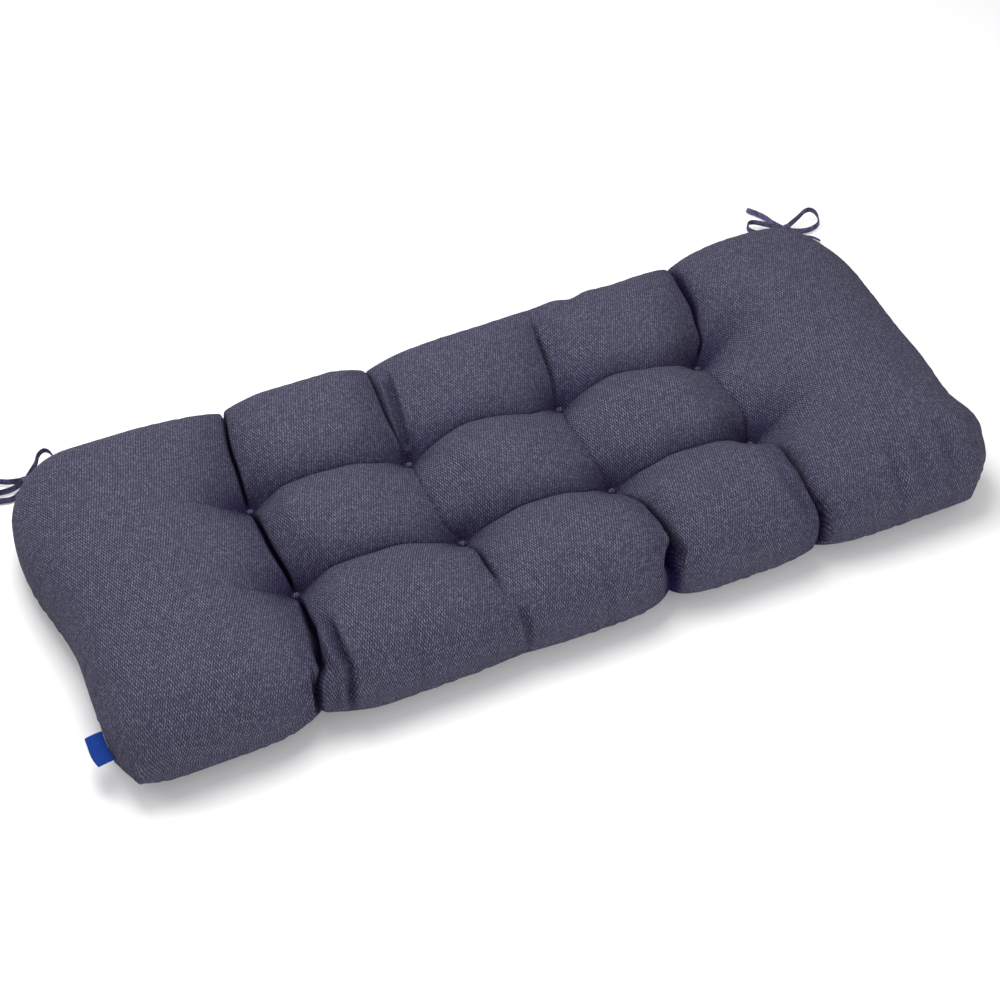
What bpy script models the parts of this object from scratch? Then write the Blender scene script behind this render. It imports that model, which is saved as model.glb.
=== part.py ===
"""Tufted bench cushion with a bow of ties at each back corner.

Two woven panels are sewn edge to edge round a soft filling. Two rows of four tacks pull the
panels together, so the cushion stands in puffs, five along its length and three across.
Metres, +Z up. The origin is on the floor under the middle, X runs along the length and the
front edge faces -Y.
"""
from collections import namedtuple
import math

import bmesh
import bpy
from mathutils import Vector

# ---------------------------------------------------------------- driving sizes
LENGTH = 1.118            # seam to seam, 44 in
DEPTH = 0.483             # seam to seam, 19 in
CROWN = 0.127             # full height of a puff, 5 in
HALF_LENGTH = LENGTH / 2
HALF_DEPTH = DEPTH / 2
SEAM_HEIGHT = 0.046       # the seam runs round the edge at this height
TACK_HEIGHT = 0.055       # the top panel is pulled down to here at each tack
SHOULDER = 0.074          # a puff reaches its full height this far in from the seam
BACK_CORNER = 0.085       # radius of the rounded back corners
FRONT_CUTS = (0.034, 0.058)   # left and right front corners, cut straight across this far
SETTLE = 0.014            # how far the puffs underneath are pressed flat by the floor
UNDER_TACK_HEIGHT = 0.023  # the bottom panel is pulled up to here
GAP = 0.0003              # clearance between pieces that touch
MERGE_DISTANCE = 0.00005  # the two panels' borders coincide and are merged

# Tack columns and rows: where the two panels are pulled together.
COLUMN_X = (-0.302, -0.103, 0.103, 0.302)
ROW_Y = (-0.075, 0.077)
BAY_STEPS = (16, 13, 13, 13, 16)
ROW_STEPS = (11, 10, 11)
STEP_BUNCHING = 0.80      # 0 spaces the mesh lines evenly, 1 bunches them up at the creases

# One row for each column of tacks, with short tables along its length (y, value): how far the
# crease leaves its straight line, the shares of the height that its soft dip and its sharp fold
# take, and how much wider it is on its left than on its right. The notches are how far the
# crease draws in the outline at its two ends.
Crease = namedtuple("Crease", "x shifts dip fold lean back_notch front_notch")
CREASES = (
    Crease(COLUMN_X[0],
           ((-HALF_DEPTH, -0.034), (-0.214, -0.018), (-0.150, -0.009), (ROW_Y[0], 0.000),
            (0.000, -0.007), (ROW_Y[1], -0.001), (0.140, -0.002), (HALF_DEPTH, 0.004)),
           ((-HALF_DEPTH, 0.18), (ROW_Y[0], 0.34), (0.0, 0.30), (ROW_Y[1], 0.34),
            (HALF_DEPTH, 0.16)),
           ((-HALF_DEPTH, 0.20), (-0.170, 0.32), (0.0, 0.36), (HALF_DEPTH, 0.34)),
           ((-HALF_DEPTH, 0.2), (-0.150, 0.5), (ROW_Y[1], 0.5), (HALF_DEPTH, 0.3)),
           0.009, 0.016),
    Crease(COLUMN_X[1],
           ((-HALF_DEPTH, 0.018), (-0.214, 0.001), (-0.160, 0.002), (ROW_Y[0], 0.006),
            (-0.043, -0.007), (0.000, -0.010), (ROW_Y[1], -0.001), (0.129, -0.004),
            (HALF_DEPTH, 0.003)),
           ((-HALF_DEPTH, 0.05), (-0.150, 0.14), (ROW_Y[0], 0.36), (0.0, 0.38),
            (ROW_Y[1], 0.36), (HALF_DEPTH, 0.12)),
           ((-HALF_DEPTH, 0.02), (-0.200, 0.06), (-0.150, 0.24), (ROW_Y[0], 0.28), (0.0, 0.14),
            (ROW_Y[1], 0.28), (HALF_DEPTH, 0.30)),
           ((-HALF_DEPTH, 0.0), (ROW_Y[0], 0.0), (0.0, 0.2), (ROW_Y[1], 0.0),
            (0.120, -0.4), (HALF_DEPTH, -0.4)),
           0.009, 0.003),
    Crease(COLUMN_X[2],
           ((-HALF_DEPTH, -0.010), (-0.205, -0.002), (-0.155, 0.004), (-0.126, -0.006),
            (ROW_Y[0], -0.003), (-0.022, -0.011), (0.012, -0.015), (ROW_Y[1], 0.001),
            (0.128, 0.009), (0.158, 0.011), (HALF_DEPTH, 0.024)),
           ((-HALF_DEPTH, 0.18), (ROW_Y[0], 0.36), (0.0, 0.36), (ROW_Y[1], 0.36),
            (HALF_DEPTH, 0.04)),
           ((-HALF_DEPTH, 0.34), (-0.150, 0.34), (ROW_Y[0], 0.28), (0.0, 0.14),
            (ROW_Y[1], 0.28), (HALF_DEPTH, 0.26)),
           ((-HALF_DEPTH, 0.0), (ROW_Y[0], 0.0), (ROW_Y[1], 0.2), (HALF_DEPTH, 0.2)),
           0.003, 0.020),
    Crease(COLUMN_X[3],
           ((-HALF_DEPTH, -0.003), (-0.209, -0.016), (-0.179, -0.024), (-0.140, -0.022),
            (ROW_Y[0], -0.011), (-0.040, -0.004), (0.012, -0.013), (ROW_Y[1], -0.006),
            (0.108, 0.015), (0.152, 0.025), (HALF_DEPTH, 0.036)),
           ((-HALF_DEPTH, 0.16), (ROW_Y[0], 0.36), (0.0, 0.36), (ROW_Y[1], 0.36),
            (HALF_DEPTH, 0.08)),
           ((-HALF_DEPTH, 0.34), (-0.150, 0.34), (ROW_Y[0], 0.28), (0.0, 0.16),
            (ROW_Y[1], 0.28), (HALF_DEPTH, 0.26)),
           ((-HALF_DEPTH, -0.1), (ROW_Y[0], -0.1), (ROW_Y[1], -0.1), (HALF_DEPTH, -0.3)),
           0.004, 0.008),
)
# The rows of tacks aren't quite straight either: how far each one leaves its line, along x.
ROW_SHIFTS = (
    ((COLUMN_X[0], 0.001), (-0.200, -0.004), (-0.140, -0.008), (COLUMN_X[1], -0.004),
     (-0.030, -0.008), (0.050, -0.011), (COLUMN_X[2], -0.001), (0.170, -0.007),
     (0.240, -0.010), (COLUMN_X[3], 0.000)),
    ((COLUMN_X[0], -0.004), (-0.240, -0.010), (-0.160, -0.014), (COLUMN_X[1], -0.010),
     (-0.040, -0.006), (0.050, -0.014), (COLUMN_X[2], 0.001), (0.170, -0.005),
     (0.240, -0.016), (COLUMN_X[3], -0.005)),
)
CREASE_REACH = 0.085      # the soft dip on each side of a crease
ROW_REACH = 0.075
FOLD_REACH = 0.034        # the sharp fold along its bottom
FOLD_ROUND = 0.42         # 0.5 is a circular puff beside a crease, less is a tighter crease
ROW_DIP = (0.26, 0.36)    # shares of the height at mid bay and beside a tack
ROW_FOLD = (0.22, 0.28)
ROW_NEAR = 0.080
ROW_FADE = 0.075          # the rows of creases run out this far past the outer tacks
NOTCH_REACH = 0.060
NOTCH_SHARPNESS = 1.7     # 1 is a straight V in the outline, more is a narrower one
EDGE_GRIP = 3             # how quickly the outline's bulges and notches fade toward the middle
FLOOR_OF_DIMPLE = 0.0065  # the flat seat of a tack
FUNNEL_SLOPE = 1.10       # the top panel rises from a tack like a funnel
FUNNEL_BLEND = 0.010
SEAT_BLEND = 0.010
UNDER_DIMPLE_REACH = 0.050

# The five bays from left to right: a hand-filled cushion is uneven. Crown is the height
# against CROWN, front and back are how far the seam stands out past its straight line.
Bay = namedtuple("Bay", "x crown front back")
BAYS = (
    Bay(-0.430, 0.98, 0.000, 0.000),
    Bay(-0.203, 0.95, 0.001, 0.001),
    Bay(0.000, 0.96, 0.002, 0.001),
    Bay(0.203, 0.98, 0.002, 0.002),
    Bay(0.405, 1.05, 0.006, 0.018),
)
# How far the two ends stand out past the seam line, at some places across the depth.
Side = namedtuple("Side", "y left right")
SIDES = (
    Side(-HALF_DEPTH, -0.003, 0.007),
    Side(-0.140, 0.001, -0.015),
    Side(-0.050, -0.002, -0.006),
    Side(0.110, 0.018, 0.002),
    Side(HALF_DEPTH, 0.006, -0.021),
)

TACK_RADIUS = 0.0046
TACK_RISE = 0.0038

# The ties: narrow stitched straps, on edge in the bow and flat where the seam holds them.
STRAP_WIDTH = 0.0075
STRAP_THICKNESS = 0.0018
KNOT_RADII = (0.0085, 0.0060, 0.0065)
KNOT_WAIST = 0.03         # how far the turns of the straps swell the knot and draw it in
LEAD_SEATS = (0.046, 0.018)   # where the two straps leave the back seam, from the corner
LEAD_TILT = math.pi / 2   # flat at the seam
LEAD_TWIST = 1.6          # on edge well before the knot: 1 would take the whole length
LEAD_GAP = 0.0006         # its straight end, clear of the rounded corner
SPLINE_STEPS = 12
LOOP_STEP = 0.0085        # spacing of the points along a strap
TAIL_STEP = 0.012
LEAD_STEP = 0.017
LEAD_START = 0.009        # it runs straight out this far
# How a lead then falls to the floor: share of its way to the knot, and height.
LEAD_FALL = ((0.00, 0.0450), (0.18, 0.0350), (0.42, 0.0160), (0.72, 0.0064))

# Routes of the straps, from the middle of the knot. A loop comes back to the knot.
Bow = namedtuple("Bow", "name side knot loops tails leads")
BOWS = (
    Bow("tie_right", 1.0, (0.576, 0.322, 0.009),
        (((0.027, 0.014, 0.002), (0.040, 0.019, 0.005), (0.048, 0.017, 0.007),
          (0.053, 0.010, 0.005), (0.053, 0.001, 0.001), (0.047, -0.008, -0.001),
          (0.034, -0.011, -0.003), (0.017, -0.0095, -0.002)),
         ((-0.016, 0.017, 0.000), (-0.025, 0.024, 0.001), (-0.033, 0.031, 0.001),
          (-0.041, 0.033, 0.001), (-0.047, 0.027, 0.000), (-0.045, 0.018, -0.002),
          (-0.031, 0.007, -0.003), (-0.016, 0.002, -0.002))),
        (((-0.008, 0.023, -0.003), (-0.011, 0.039, -0.004), (-0.017, 0.052, -0.004),
          (-0.026, 0.066, -0.004)),
         ((0.009, -0.013, -0.003), (0.018, -0.020, -0.004), (0.027, -0.026, -0.004),
          (0.034, -0.037, -0.004))),
        ((-0.013, -0.025, -0.003), (0.000, -0.028, -0.003))),
    Bow("tie_left", -1.0, (-0.527, 0.283, 0.009),
        (((0.016, 0.019, 0.004), (0.023, 0.029, 0.008), (0.031, 0.034, 0.009),
          (0.037, 0.031, 0.008), (0.040, 0.022, 0.004), (0.033, 0.014, 0.000),
          (0.020, 0.0085, -0.002)),
         ((-0.020, 0.008, -0.001), (-0.032, 0.016, -0.003), (-0.046, 0.020, -0.003),
          (-0.058, 0.017, -0.002), (-0.062, 0.010, -0.002), (-0.054, 0.003, -0.003),
          (-0.036, -0.003, -0.003), (-0.021, -0.0035, -0.003))),
        (((-0.012, -0.013, -0.003), (-0.024, -0.019, -0.004), (-0.040, -0.016, -0.004),
          (-0.058, -0.009, -0.004)),
         ((0.020, -0.011, -0.003), (0.034, -0.018, -0.004), (0.050, -0.020, -0.004),
          (0.064, -0.019, -0.004))),
        ((0.005, -0.026, -0.003), (-0.007, -0.026, -0.003))),
)

# The woven tab in the left seam, near the front corner.
TAB_LENGTH = 0.042
TAB_WIDTH = 0.020
TAB_THICKNESS = 0.0012
TAB_DROOP = 0.003
TAB_BACK_Y = -0.160
TAB_STEPS = (8, 4)

CLOTH = (0.072, 0.072, 0.118)
TIE_CLOTH = (0.058, 0.058, 0.110)
BLUE = (0.010, 0.070, 0.330)


# ---------------------------------------------------------------- helpers
def clear_scene():
    for item in list(bpy.data.objects):
        bpy.data.objects.remove(item, do_unlink=True)


def new_collection(name):
    group = bpy.data.collections.new(name)
    bpy.context.scene.collection.children.link(group)
    return group


def add_object(name, data, group, material):
    item = bpy.data.objects.new(name, data)
    data.materials.append(material)
    group.objects.link(item)
    return item


def finish_mesh(name, mesh, group, material):
    data = bpy.data.meshes.new(name)
    mesh.to_mesh(data)
    mesh.free()
    data.shade_smooth()
    return add_object(name, data, group, material)


def cloth_material(name, colour, roughness):
    material = bpy.data.materials.new(name)
    material.use_nodes = True
    shader = material.node_tree.nodes["Principled BSDF"]
    shader.inputs["Base Color"].default_value = (*colour, 1.0)
    shader.inputs["Roughness"].default_value = roughness
    shader.inputs["Metallic"].default_value = 0.0
    return material


def ease(t):
    """0 to 1 with level ends."""
    t = min(max(t, 0.0), 1.0)
    return t * t * (3.0 - 2.0 * t)


def table_value(points, at):
    """A smooth curve through (place, value) pairs, level beyond its ends."""
    if at <= points[0][0]:
        return points[0][1]
    for (left, low), (right, high) in zip(points, points[1:]):
        if at <= right:
            return low + (high - low) * ease((at - left) / (right - left))
    return points[-1][1]


def bunched_lines(edges, steps):
    """Mesh lines over several bays, closer together at the bays' edges."""
    lines = [edges[0]]
    for start, end, count in zip(edges, edges[1:], steps):
        for step in range(1, count + 1):
            even = step / count
            bunched = 0.5 - 0.5 * math.cos(math.pi * even)
            mixed = even + (bunched - even) * STEP_BUNCHING
            lines.append(start + (end - start) * mixed)
    return lines


# ---------------------------------------------------------------- cushion shape
LINES_X = bunched_lines((-HALF_LENGTH, *COLUMN_X, HALF_LENGTH), BAY_STEPS)
LINES_Y = bunched_lines((-HALF_DEPTH, *ROW_Y, HALF_DEPTH), ROW_STEPS)


def between_lines(at, places, shifts):
    """Shifts given on a few lines, spread evenly over the bays between the lines."""
    for left, right, low, high in zip(places, places[1:], shifts, shifts[1:]):
        if at <= right:
            return low + (high - low) * (at - left) / (right - left)
    return shifts[-1]


def bay_shift(x, y):
    """How far the wandering columns and rows move a point."""
    columns = [0.0, *(table_value(crease.shifts, y) for crease in CREASES), 0.0]
    rows = [0.0, *(table_value(shifts, x) for shifts in ROW_SHIFTS), 0.0]
    return (between_lines(x, (-HALF_LENGTH, *COLUMN_X, HALF_LENGTH), columns),
            between_lines(y, (-HALF_DEPTH, *ROW_Y, HALF_DEPTH), rows))


def puff(distance, reach, roundness):
    """Round profile of a puff: 0 in the crease, 1 on its crown."""
    s = min(distance / reach, 1.0)
    return (s * (2.0 - s)) ** roundness


def dip_and_fold(distance, reach, dip, fold):
    """Height left across a crease: a soft dip with a sharp fold along its bottom."""
    soft = 1.0 - ease(distance / reach)
    sharp = 1.0 - puff(distance, FOLD_REACH, FOLD_ROUND)
    return 1.0 - dip * soft - fold * sharp


def height_left(x, y):
    """Share of the height that the column creases and the row creases leave."""
    share = 1.0
    for crease in CREASES:
        offset = x - crease.x
        widening = 1.0 - math.copysign(1.0, offset) * table_value(crease.lean, y)
        share *= dip_and_fold(abs(offset) / widening, CREASE_REACH,
                              table_value(crease.dip, y), table_value(crease.fold, y))
    fading = 1.0 - ease((abs(x) - COLUMN_X[-1]) / ROW_FADE)
    near = 1.0 - ease(min(abs(x - column) for column in COLUMN_X) / ROW_NEAR)
    dip = fading * (ROW_DIP[0] + (ROW_DIP[1] - ROW_DIP[0]) * near)
    fold = fading * (ROW_FOLD[0] + (ROW_FOLD[1] - ROW_FOLD[0]) * near)
    for row in ROW_Y:
        share *= dip_and_fold(abs(y - row), ROW_REACH, dip, fold)
    return share


def shoulder(inward):
    """Rounded rise from the seam to the crown."""
    s = min(inward / SHOULDER, 1.0)
    return math.sqrt(max(s * (2.0 - s), 0.0))


def edge_factor(x, y):
    return shoulder(HALF_LENGTH - abs(x)) * shoulder(HALF_DEPTH - abs(y))


def nearest_tack(x, y):
    return min(math.hypot(x - column, y - row) for column in COLUMN_X for row in ROW_Y)


def bay_value(column, x):
    """A column of the table of bays, carried smoothly along the cushion."""
    return table_value([(bay.x, getattr(bay, column)) for bay in BAYS], x)


def soft_min(first, second, blend):
    """The lower of two heights, rounded over where they cross."""
    overlap = max(blend - abs(first - second), 0.0) / blend
    return min(first, second) - overlap ** 2 * blend / 4.0


def drawn_down(height, target, distance):
    """A height pulled down to a tack: flat on its seat, then up like a funnel."""
    funnel = target + max(distance - FLOOR_OF_DIMPLE, 0.0) * FUNNEL_SLOPE
    drawn = soft_min(height, funnel, FUNNEL_BLEND)
    return target + (drawn - target) * ease((distance - FLOOR_OF_DIMPLE) / SEAT_BLEND)


def pulled_up(height, target, distance):
    """The bottom panel's dimple under a tack."""
    s = min(max((distance - FLOOR_OF_DIMPLE) / UNDER_DIMPLE_REACH, 0.0), 1.0)
    return target + (height - target) * math.sqrt(s * (2.0 - s))


def top_height(x, y):
    rise = CROWN * bay_value("crown", x) - SEAM_HEIGHT
    height = SEAM_HEIGHT + rise * edge_factor(x, y) * height_left(x, y)
    return drawn_down(height, TACK_HEIGHT, nearest_tack(x, y))


def bottom_height(x, y):
    """The same puffs underneath, shallower and pressed flat where they meet the floor."""
    drop = SEAM_HEIGHT + SETTLE
    height = max(SEAM_HEIGHT - drop * edge_factor(x, y) * height_left(x, y), 0.0)
    return pulled_up(height, UNDER_TACK_HEIGHT, nearest_tack(x, y))


def square_to_round(p, q):
    """A corner's unit square laid on a quarter disc."""
    return p * math.sqrt(1.0 - q * q / 2.0), q * math.sqrt(1.0 - p * p / 2.0)


def square_to_cut(p, q):
    """A corner's unit square laid on a triangle, for a corner cut straight across."""
    return p * (1.0 - q / 2.0), q * (1.0 - p / 2.0)


def fit_corner(x, y):
    """Moves a point of the rectangle so that the outline gets its corners."""
    size, lay = BACK_CORNER, square_to_round
    if y < 0.0:
        size, lay = FRONT_CUTS[0 if x < 0.0 else 1], square_to_cut
    inner_x = HALF_LENGTH - size
    inner_y = HALF_DEPTH - size
    if abs(x) <= inner_x or abs(y) <= inner_y:
        return x, y
    p, q = lay((abs(x) - inner_x) / size, (abs(y) - inner_y) / size)
    return math.copysign(inner_x + p * size, x), math.copysign(inner_y + q * size, y)


def edge_bulge(x, y):
    """How far the front or back outline stands out at x: bays out, crease ends in."""
    bulge = bay_value("back" if y > 0.0 else "front", x)
    for crease in CREASES:
        notch = crease.back_notch if y > 0.0 else crease.front_notch
        bulge -= notch * max(1.0 - abs(x - crease.x) / NOTCH_REACH, 0.0) ** NOTCH_SHARPNESS
    return bulge


def plan_place(x, y):
    """Where a point of the flat pattern lies, seen from above."""
    corner_x, corner_y = fit_corner(x, y)
    side = [(row.y, row.left if x < 0.0 else row.right) for row in SIDES]
    end_bulge = table_value(side, y) * (abs(x) / HALF_LENGTH) ** EDGE_GRIP
    long_bulge = edge_bulge(x, y) * (abs(y) / HALF_DEPTH) ** EDGE_GRIP
    shift_x, shift_y = bay_shift(x, y)
    place_x = corner_x + shift_x + math.copysign(1.0, x) * end_bulge
    place_y = corner_y + shift_y + math.copysign(1.0, y) * long_bulge
    return place_x, place_y


# ---------------------------------------------------------------- sub-parts
def add_panel(mesh, height_of):
    """One panel: a grid whose lines follow the creases, raised to its height."""
    columns = len(LINES_X) - 1
    rows = len(LINES_Y) - 1
    grid = bmesh.ops.create_grid(mesh, x_segments=columns, y_segments=rows, size=0.5)
    for vertex in grid["verts"]:
        x = LINES_X[round((vertex.co.x + 0.5) * columns)]
        y = LINES_Y[round((vertex.co.y + 0.5) * rows)]
        vertex.co = (*plan_place(x, y), height_of(x, y))


def make_cushion(group, material):
    mesh = bmesh.new()
    add_panel(mesh, top_height)
    add_panel(mesh, bottom_height)
    bmesh.ops.remove_doubles(mesh, verts=mesh.verts, dist=MERGE_DISTANCE)
    bmesh.ops.recalc_face_normals(mesh, faces=mesh.faces)
    return finish_mesh("cushion", mesh, group, material)


def make_tack(name, x, y, group, material):
    """A low cloth nub, rounded on top, sitting on the flat of its dimple."""
    mesh = bmesh.new()
    bmesh.ops.create_uvsphere(mesh, u_segments=14, v_segments=8, radius=1.0)
    for vertex in mesh.verts:
        rise = max(vertex.co.z, 0.0) * TACK_RISE
        vertex.co = (vertex.co.x * TACK_RADIUS, vertex.co.y * TACK_RADIUS, rise)
    item = finish_mesh(name, mesh, group, material)
    item.location = (*plan_place(x, y), TACK_HEIGHT + GAP)
    return item


def make_tacks(group, material):
    for row_name, row in zip(("front", "back"), ROW_Y):
        for number, column in enumerate(COLUMN_X, start=1):
            make_tack(f"tack_{row_name}_{number}", column, row, group, material)


def spline_point(before, start, end, after, t):
    """A point of the smooth curve that runs from start to end."""
    return 0.5 * ((2.0 * start) + (end - before) * t
                  + (2.0 * before - 5.0 * start + 4.0 * end - after) * t ** 2
                  + (3.0 * start - before - 3.0 * end + after) * t ** 3)


def smooth_route(points, step):
    """Evenly spaced points along a smooth curve through the route's own points."""
    ends = [2.0 * points[0] - points[1], *points, 2.0 * points[-1] - points[-2]]
    fine = [points[0]]
    for index in range(len(points) - 1):
        fine += [spline_point(*ends[index:index + 4], t / SPLINE_STEPS)
                 for t in range(1, SPLINE_STEPS + 1)]
    lengths = [0.0]
    for start, end in zip(fine, fine[1:]):
        lengths.append(lengths[-1] + (end - start).length)
    count = max(round(lengths[-1] / step), 2)
    route = []
    for number in range(count + 1):
        along = lengths[-1] * number / count
        index = next(i for i in range(1, len(fine)) if along <= lengths[i] + 1e-9)
        part = (along - lengths[index - 1]) / (lengths[index] - lengths[index - 1])
        route.append(fine[index - 1].lerp(fine[index], part))
    return route


def make_strap(name, route, tilts, group, material):
    """A flat strap swept along its route, its width upright where it has no tilt."""
    curve = bpy.data.curves.new(name, "CURVE")
    curve.dimensions = "3D"
    curve.twist_mode = "Z_UP"
    curve.fill_mode = "FULL"
    curve.bevel_depth = STRAP_THICKNESS / 2
    curve.bevel_resolution = 1
    curve.extrude = (STRAP_WIDTH - STRAP_THICKNESS) / 2
    curve.use_fill_caps = True
    spline = curve.splines.new("POLY")
    spline.points.add(len(route) - 1)
    for point, place, tilt in zip(spline.points, route, tilts):
        point.co = (*place, 1.0)
        point.tilt = tilt
    return add_object(name, curve, group, material)


def knot_seat(knot, toward):
    """Where a strap that runs toward a point meets the knot, face to face."""
    outward = (toward - knot).normalized()
    reach = math.sqrt(sum((radius * part) ** 2 for radius, part in zip(KNOT_RADII, outward)))
    return knot + outward * (reach + GAP)


def make_knot(name, knot, group, material):
    """The knot, a small round bundle with the turns of the straps round it."""
    mesh = bmesh.new()
    bmesh.ops.create_uvsphere(mesh, u_segments=20, v_segments=12, radius=1.0)
    for vertex in mesh.verts:
        turn = 1.0 + KNOT_WAIST * (math.cos(3.0 * math.pi * vertex.co.x) - 1.0)
        x, y, z = vertex.co
        vertex.co = (x * KNOT_RADII[0], y * KNOT_RADII[1] * turn, z * KNOT_RADII[2] * turn)
    item = finish_mesh(name, mesh, group, material)
    item.location = knot
    return item


def seam_exit(side, number):
    """Where a lead leaves the seam beside a back corner, and the way straight out from it."""
    half_strap = STRAP_WIDTH / 2
    ends = []
    for offset in (LEAD_SEATS[number] - half_strap, LEAD_SEATS[number] + half_strap):
        place = plan_place(side * (HALF_LENGTH - offset), HALF_DEPTH)
        ends.append(Vector((*place, SEAM_HEIGHT)))
    edge = (ends[1] - ends[0]).normalized()
    outward = Vector((edge.y, -edge.x, 0.0))
    exit_point = (ends[0] + ends[1]) / 2
    if outward.dot(exit_point) < 0.0:
        outward = -outward
    return exit_point, outward


def lead_route(bow, number, knot):
    """A strap's way from the seam at the corner, down to the floor and to the knot."""
    exit_point, outward = seam_exit(bow.side, number)
    start = exit_point + outward * LEAD_START
    arrival = knot + Vector(bow.leads[number])
    fall = []
    for share, height in LEAD_FALL:
        place = start.lerp(arrival, share)
        fall.append(Vector((place.x, place.y, height)))
    fall += [arrival, knot_seat(knot, arrival)]
    return [exit_point + outward * LEAD_GAP, *smooth_route(fall, LEAD_STEP)]


def make_bow(bow, group, material):
    knot = Vector(bow.knot)
    make_knot(f"{bow.name}_knot", knot, group, material)
    for number, mark in enumerate("ab"):
        loop = [knot + Vector(place) for place in bow.loops[number]]
        loop = [knot_seat(knot, loop[0]), *loop, knot_seat(knot, loop[-1])]
        tail = [knot + Vector(place) for place in bow.tails[number]]
        tail = [knot_seat(knot, tail[0]), *tail]
        lead = lead_route(bow, number, knot)
        last = len(lead) - 1
        tilts = [LEAD_TILT * (1.0 - ease(LEAD_TWIST * i / last)) for i in range(last + 1)]
        make_strap(f"{bow.name}_lead_{mark}", lead, tilts, group, material)
        for part, route, step in (("loop", loop, LOOP_STEP), ("tail", tail, TAIL_STEP)):
            points = smooth_route(route, step)
            make_strap(f"{bow.name}_{part}_{mark}", points, [0.0] * len(points), group, material)


def make_tab(group, material):
    """The folded tab: its inner edge follows the seam, 0.3 mm clear of it."""
    mesh = bmesh.new()
    along, out = TAB_STEPS
    bmesh.ops.create_grid(mesh, x_segments=out, y_segments=along, size=0.5)
    for vertex in mesh.verts:
        reach = 0.5 - vertex.co.x
        y = TAB_BACK_Y - TAB_LENGTH * (0.5 - vertex.co.y)
        seam_x, seam_y = plan_place(-HALF_LENGTH, y)
        place_x = seam_x - GAP - TAB_WIDTH * reach
        vertex.co = (place_x, seam_y, SEAM_HEIGHT - TAB_DROOP * reach ** 2)
    tab = finish_mesh("seam_tab", mesh, group, material)
    thickness = tab.modifiers.new("cloth", "SOLIDIFY")
    thickness.thickness = TAB_THICKNESS
    thickness.offset = 0.0
    return tab


def main():
    clear_scene()
    group = new_collection("bench_cushion")
    cloth = cloth_material("woven_cloth", CLOTH, 0.95)
    strap = cloth_material("tie_cloth", TIE_CLOTH, 0.9)
    blue = cloth_material("blue_woven_tab", BLUE, 0.7)
    make_cushion(group, cloth)
    make_tacks(group, cloth)
    for bow in BOWS:
        make_bow(bow, group, strap)
    make_tab(group, blue)


main()
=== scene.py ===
# %% [markdown]
# # A tufted bench cushion
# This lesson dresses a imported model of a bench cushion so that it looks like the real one: a
# long pad of heathered navy cloth, tacked down at eight places, with a bow of narrow ties at
# each back corner and a folded blue tab in the left seam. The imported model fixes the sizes.
# It is loaded first, and every piece made here stands for one or more of its solids.

import math
from collections import namedtuple

import bmesh
import bpy
import numpy as np
from mathutils import Matrix, Vector, noise


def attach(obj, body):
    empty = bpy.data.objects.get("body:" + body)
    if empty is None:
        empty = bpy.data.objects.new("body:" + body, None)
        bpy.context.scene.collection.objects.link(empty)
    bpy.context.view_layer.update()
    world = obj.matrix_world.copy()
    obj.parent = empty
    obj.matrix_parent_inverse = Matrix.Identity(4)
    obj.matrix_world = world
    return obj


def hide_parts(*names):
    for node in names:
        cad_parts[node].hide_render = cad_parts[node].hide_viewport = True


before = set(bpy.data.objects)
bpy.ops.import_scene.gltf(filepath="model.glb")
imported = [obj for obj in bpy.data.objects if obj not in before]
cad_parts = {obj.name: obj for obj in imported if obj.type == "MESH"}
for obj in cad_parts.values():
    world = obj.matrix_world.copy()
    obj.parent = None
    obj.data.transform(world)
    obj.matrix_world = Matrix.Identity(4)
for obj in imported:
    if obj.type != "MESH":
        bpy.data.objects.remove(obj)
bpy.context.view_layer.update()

# %% [markdown]
# ## The camera
# The photograph looks down on the front left corner from 46 degrees above the floor. A camera
# can be moved by hand until the view fits. Here it was fitted to the outline and the tacks, and
# is given by an azimuth, an elevation and a distance from the origin, because those are the
# easiest to think about. A long lens (72 mm) keeps the far corner from shrinking too much.

# %% Place the camera
CAMERA_AZIMUTH = math.radians(-24.71)
CAMERA_ELEVATION = math.radians(46.26)
CAMERA_DISTANCE = 2.4556
CAMERA_LENS = 72.04
CAMERA_SHIFT = (-0.0100, 0.0073)


def toward(azimuth, elevation):
    """The direction from the origin to a point at this azimuth and elevation."""
    return Vector((math.sin(azimuth) * math.cos(elevation),
                   -math.cos(azimuth) * math.cos(elevation), math.sin(elevation)))


camera_data = bpy.data.cameras.new("camera")
camera_data.lens = CAMERA_LENS
camera_data.shift_x, camera_data.shift_y = CAMERA_SHIFT
camera = bpy.data.objects.new("camera", camera_data)
camera.location = toward(CAMERA_AZIMUTH, CAMERA_ELEVATION) * CAMERA_DISTANCE
camera.rotation_euler = camera.location.to_track_quat("Z", "Y").to_euler()
bpy.context.scene.collection.objects.link(camera)
bpy.context.scene.camera = camera
print("camera at", [round(v, 3) for v in camera.location])

# %% [markdown]
# ## Helpers for making a piece
# A piece is a list of points and faces. `new_piece` turns them into a mesh object, `set_uv`
# lays a pattern on it in metres, and `smooth_route` draws a smooth line through a few points
# and spaces new points evenly along it. Cloth patterns follow the surface, so every cloth
# piece gets a UV map of its own.

# %% Mesh helpers


def new_piece(name, points, faces, body="root"):
    data = bpy.data.meshes.new(name)
    data.from_pydata([tuple(point) for point in points], [], faces)
    data.shade_smooth()
    piece = bpy.data.objects.new(name, data)
    bpy.context.scene.collection.objects.link(piece)
    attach(piece, body)
    return piece


def set_uv(piece, places):
    """One (u, v) in metres for each vertex."""
    layer = piece.data.uv_layers.new(name="cloth")
    corners = np.empty(len(piece.data.loops), dtype=np.int32)
    piece.data.loops.foreach_get("vertex_index", corners)
    layer.data.foreach_set("uv", np.asarray(places, dtype=np.float32)[corners].ravel())


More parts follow.
